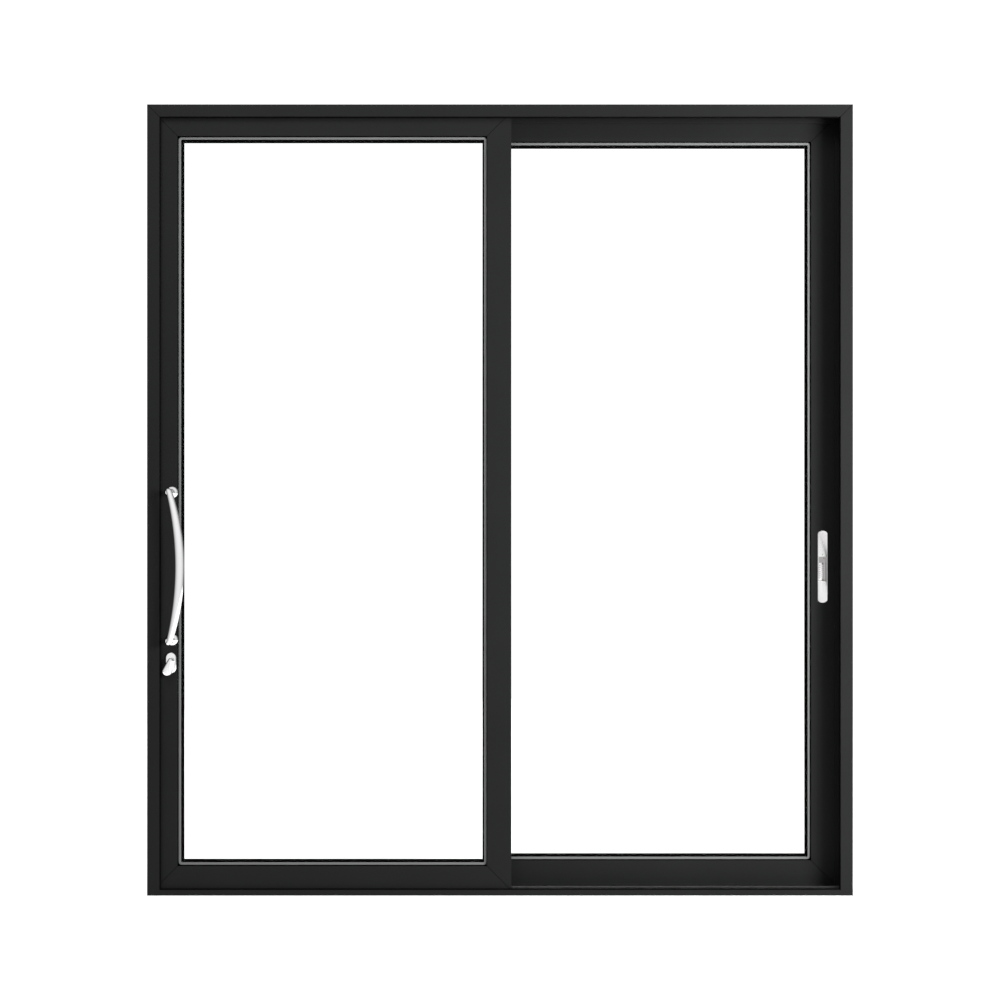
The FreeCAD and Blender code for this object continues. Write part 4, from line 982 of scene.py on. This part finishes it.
class DOOR_OT_flush_pull(bpy.types.Operator):
    """Models the flush pull's plate and catch, coats its cup in a darker nickel that paints the recess's
    shade, and adds the two coloured marks
    """

    bl_idname = "door.flush_pull"
    bl_label = "Flush pull"

    def execute(self, context):
        satin = brushed_metal("pull_satin_nickel", (0.9, 0.89, 0.89), rough=0.2, grain_axis="Z")
        # The cup is a darker copy of the plate's satin nickel: painted shade for the recess.
        shaded = brushed_metal("cup_satin_nickel", (0.58, 0.57, 0.57), rough=0.34, grain_axis="Z")
        coat(frame["nodes"]["flush_pull_cup"], shaded)
        soften("flush_pull_cup", 0.3 * MM)
        cup_low, cup_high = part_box("flush_pull_cup")
        wall = Vector((handle_sizes().cup_wall, 0, handle_sizes().cup_wall))
        opening = (cup_low + wall, cup_high - wall)
        self.add_plate(satin, opening)
        self.add_catch(satin)
        green_rise, red_inset, red_drop = 5.5 * MM, 4.4 * MM, 4 * MM
        plate_middle = (opening[0].x + opening[1].x) / 2
        plate_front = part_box("flush_pull_plate")[0].y
        cup_back = cup_high.y - handle_sizes().cup_wall
        green = Vector((plate_middle, plate_front, opening[1].z + green_rise))
        red = Vector((opening[1].x - red_inset, cup_back, opening[1].z - red_drop))
        self.add_mark("green_mark", green, enamel("green_enamel", (0.03, 0.32, 0.06)))
        self.add_mark("red_mark", red, enamel("red_enamel", (0.5, 0.02, 0.015)))
        return {"FINISHED"}

    @staticmethod
    def add_plate(material, opening):
        low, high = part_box("flush_pull_plate")
        sizes = handle_sizes()
        half_across = (high.x - low.x) / 2
        straight = (high.z - low.z) / 2 - sizes.plate_arch
        centre = Vector(((low.x + high.x) / 2, high.y, (low.z + high.z) / 2))
        squash = sizes.plate_arch / half_across
        work = oval("flush_pull_face", centre, half_across, straight, straight, squash=squash, vertices=64)
        open_low, open_high = opening
        for corner in opening:
            work.pick_all().bisect(corner, ALONG)
            work.pick_all().bisect(corner, UP)
        work.pick(
            lambda co, normal: open_low.x < co.x < open_high.x and open_low.z < co.z < open_high.z
        )
        work.delete_faces().pick_all().extrude(FRONT * (high.y - low.y))
        work.pick(lambda co, normal: faces_front(normal))
        slope, sunk = 0.25 * sizes.plate_rim, 0.35 * sizes.plate_rim
        work.inset(sizes.plate_rim).inset(slope, depth=-sunk)
        plate = work.merge().finished(angle=35, bevel=0.22 * MM)
        place_piece(plate, "rear_panel", "pull_metal", material, "flush_pull_plate")

    @staticmethod
    def add_catch(material):
        low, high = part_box("latch_catch")
        middle, size = (low + high) / 2, high - low
        work = Workpiece("catch_slider", "cube", size=1.0, location=tuple(middle), scale=tuple(size))
        grooves = handle_sizes().catch_grooves
        pitch = size.z / (2 * grooves + 3)
        groove_rim, groove_depth = 0.3 * pitch, 0.3 * pitch
        edges = [low.z + pitch * (step + 2) for step in range(2 * grooves)]
        for z in edges:
            work.pick_all().bisect(Vector((0, 0, z)), UP)
        in_groove = [(edges[i], edges[i + 1]) for i in range(0, len(edges), 2)]
        work.pick(
            lambda co, normal: faces_front(normal)
            and any(bottom < co.z < top for bottom, top in in_groove)
        )
        work.inset(groove_rim).extrude(-FRONT * groove_depth)
        slider = work.merge().finished(angle=35, bevel=0.2 * MM)
        place_piece(slider, "latch_catch", "catch_metal", material, "latch_catch")

    @staticmethod
    def add_mark(name, place, material):
        """A flat drop of enamel, facing the front."""
        radius, rise = 1.3 * MM, 0.3 * MM
        profile = ((-rise, radius), (0.0, radius), (0.6 * rise, 0.8 * radius), (rise, 0.4 * radius))
        mark = lathed(name, place, profile, vertices=20).finished(angle=60)
        place_piece(mark, "rear_panel", "pull_metal", material)


class DOOR_OT_fittings(bpy.types.Operator):
    """Dresses the rollers, keepers and faceplates, and adds the screws"""

    bl_idname = "door.fittings"
    bl_label = "Rollers, keepers and screws"

    def execute(self, context):
        plates = brushed_metal("plate_steel", (0.58, 0.58, 0.57), rough=0.3, grain_axis="Z")
        for node in (*KEEPER_NODES, *(node for node, side in FACEPLATE_NODES.values())):
            coat(frame["nodes"][node], plates)
            soften(node, 0.25 * MM)
        zinc_grey, nylon_white = (0.56, 0.57, 0.55), (0.62, 0.61, 0.57)
        zinc = brushed_metal("roller_zinc", zinc_grey, rough=0.34, grain_axis="X", grain=300.0, wear=0.4)
        white = nylon("roller_nylon", nylon_white)
        for side in ("front", "rear"):
            coat(frame["nodes"][side + "_roller_housings"], zinc)
            coat(frame["nodes"][side + "_roller_wheels"], white)
            soften(side + "_roller_wheels", 0.3 * MM)
        screw = self.make_screw()
        for body, places in self.screw_places().items():
            screws = repeated(screw, body + "_screws", places)
            for polygon in screws.data.polygons:
                polygon.use_smooth = True
            place_piece(screws, body, "plate_steel", plates)
        bpy.data.objects.remove(screw)
        return {"FINISHED"}

    @staticmethod
    def make_screw():
        """A flat-headed screw with a cross recess, at the origin and facing the front."""
        radius = handle_sizes().screw
        rise = 0.25 * radius
        recess_depth = 0.9 * rise
        profile = (
            (-0.5 * rise, radius),
            (0.4 * rise, radius),
            (0.8 * rise, 0.9 * radius),
            (rise, 0.72 * radius),
        )
        work = lathed("screw", Vector((0, 0, 0)), profile, vertices=16)
        wide, reach = 0.14 * radius, 0.52 * radius
        for across in (-reach, -wide, wide, reach):
            for axis in (ALONG, UP):
                work.pick(lambda co, normal: faces_front(normal)).bisect(axis * across, axis)
        work.pick(
            lambda co, normal: faces_front(normal)
            and min(abs(co.x), abs(co.z)) < wide
            and max(abs(co.x), abs(co.z)) < reach
        )
        work.extrude(-FRONT * recess_depth)
        return work.merge().finished(angle=35)

    @staticmethod
    def screw_places():
        """Each body's screws, as points with the way that their heads face."""
        places = {"frame": [], "front_panel": [], "rear_panel": []}
        foot_wall, foot_middle, interlock_foot_wall = 2 * MM, 9 * MM, 1.2 * MM
        interlock_screws = 6
        for node, side in KEEPER_NODES.items():
            low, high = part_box(node)
            foot = low.x + foot_wall if side > 0 else high.x - foot_wall
            for z in (low.z + foot_middle, high.z - foot_middle):
                places["frame"].append((Vector((foot, (low.y + high.y) / 2, z)), ALONG * side))
        for panel, (node, side) in FACEPLATE_NODES.items():
            low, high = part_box(node)
            face = low.x if side < 0 else high.x
            for z in (low.z + foot_middle, high.z - foot_middle):
                places[panel].append((Vector((face, (low.y + high.y) / 2, z)), ALONG * side))
            low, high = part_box(panel.removesuffix("_panel") + "_interlock")
            facing = 1 if panel == "front_panel" else -1
            foot = low.y + interlock_foot_wall if facing > 0 else high.y - interlock_foot_wall
            for step in range(interlock_screws):
                z = low.z + (high.z - low.z) * (step + 0.5) / interlock_screws
                places[panel].append((Vector(((low.x + high.x) / 2, foot, z)), -FRONT * facing))
        return places


class DOOR_PT_panel(bpy.types.Panel):
    """Lists the door's settings, and the steps that dress it, in the sidebar."""

    bl_label = "Patio door"
    bl_idname = "DOOR_PT_panel"
    bl_space_type = "VIEW_3D"
    bl_region_type = "UI"
    bl_category = "Patio door"

    def draw(self, context):
        for settings in (context.scene.door_finish, context.scene.door_handle, context.scene.door_studio):
            box = self.layout.box()
            for name in settings.__annotations__:
                box.prop(settings, name)
        for operator in OPERATORS:
            self.layout.operator(operator.bl_idname)


SETTINGS = (FinishSettings, HandleSettings, StudioSettings)
OPERATORS = (
    DOOR_OT_stage,
    DOOR_OT_frame,
    DOOR_OT_panels,
    DOOR_OT_glass,
    DOOR_OT_pull_handle,
    DOOR_OT_lock,
    DOOR_OT_flush_pull,
    DOOR_OT_fittings,
)


def register():
    for group in (*SETTINGS, *OPERATORS, DOOR_PT_panel):
        bpy.utils.register_class(group)
    bpy.types.Scene.door_finish = PointerProperty(type=FinishSettings)
    bpy.types.Scene.door_handle = PointerProperty(type=HandleSettings)
    bpy.types.Scene.door_studio = PointerProperty(type=StudioSettings)


def unregister():
    del bpy.types.Scene.door_studio
    del bpy.types.Scene.door_handle
    del bpy.types.Scene.door_finish
    for group in (DOOR_PT_panel, *reversed(OPERATORS), *reversed(SETTINGS)):
        bpy.utils.unregister_class(group)


def main():
    register()
    bpy.ops.door.stage()
    bpy.ops.door.frame()
    bpy.ops.door.panels()
    bpy.ops.door.glass()
    bpy.ops.door.pull_handle()
    bpy.ops.door.lock()
    bpy.ops.door.flush_pull()
    bpy.ops.door.fittings()


if __name__ == "__main__":
    main()
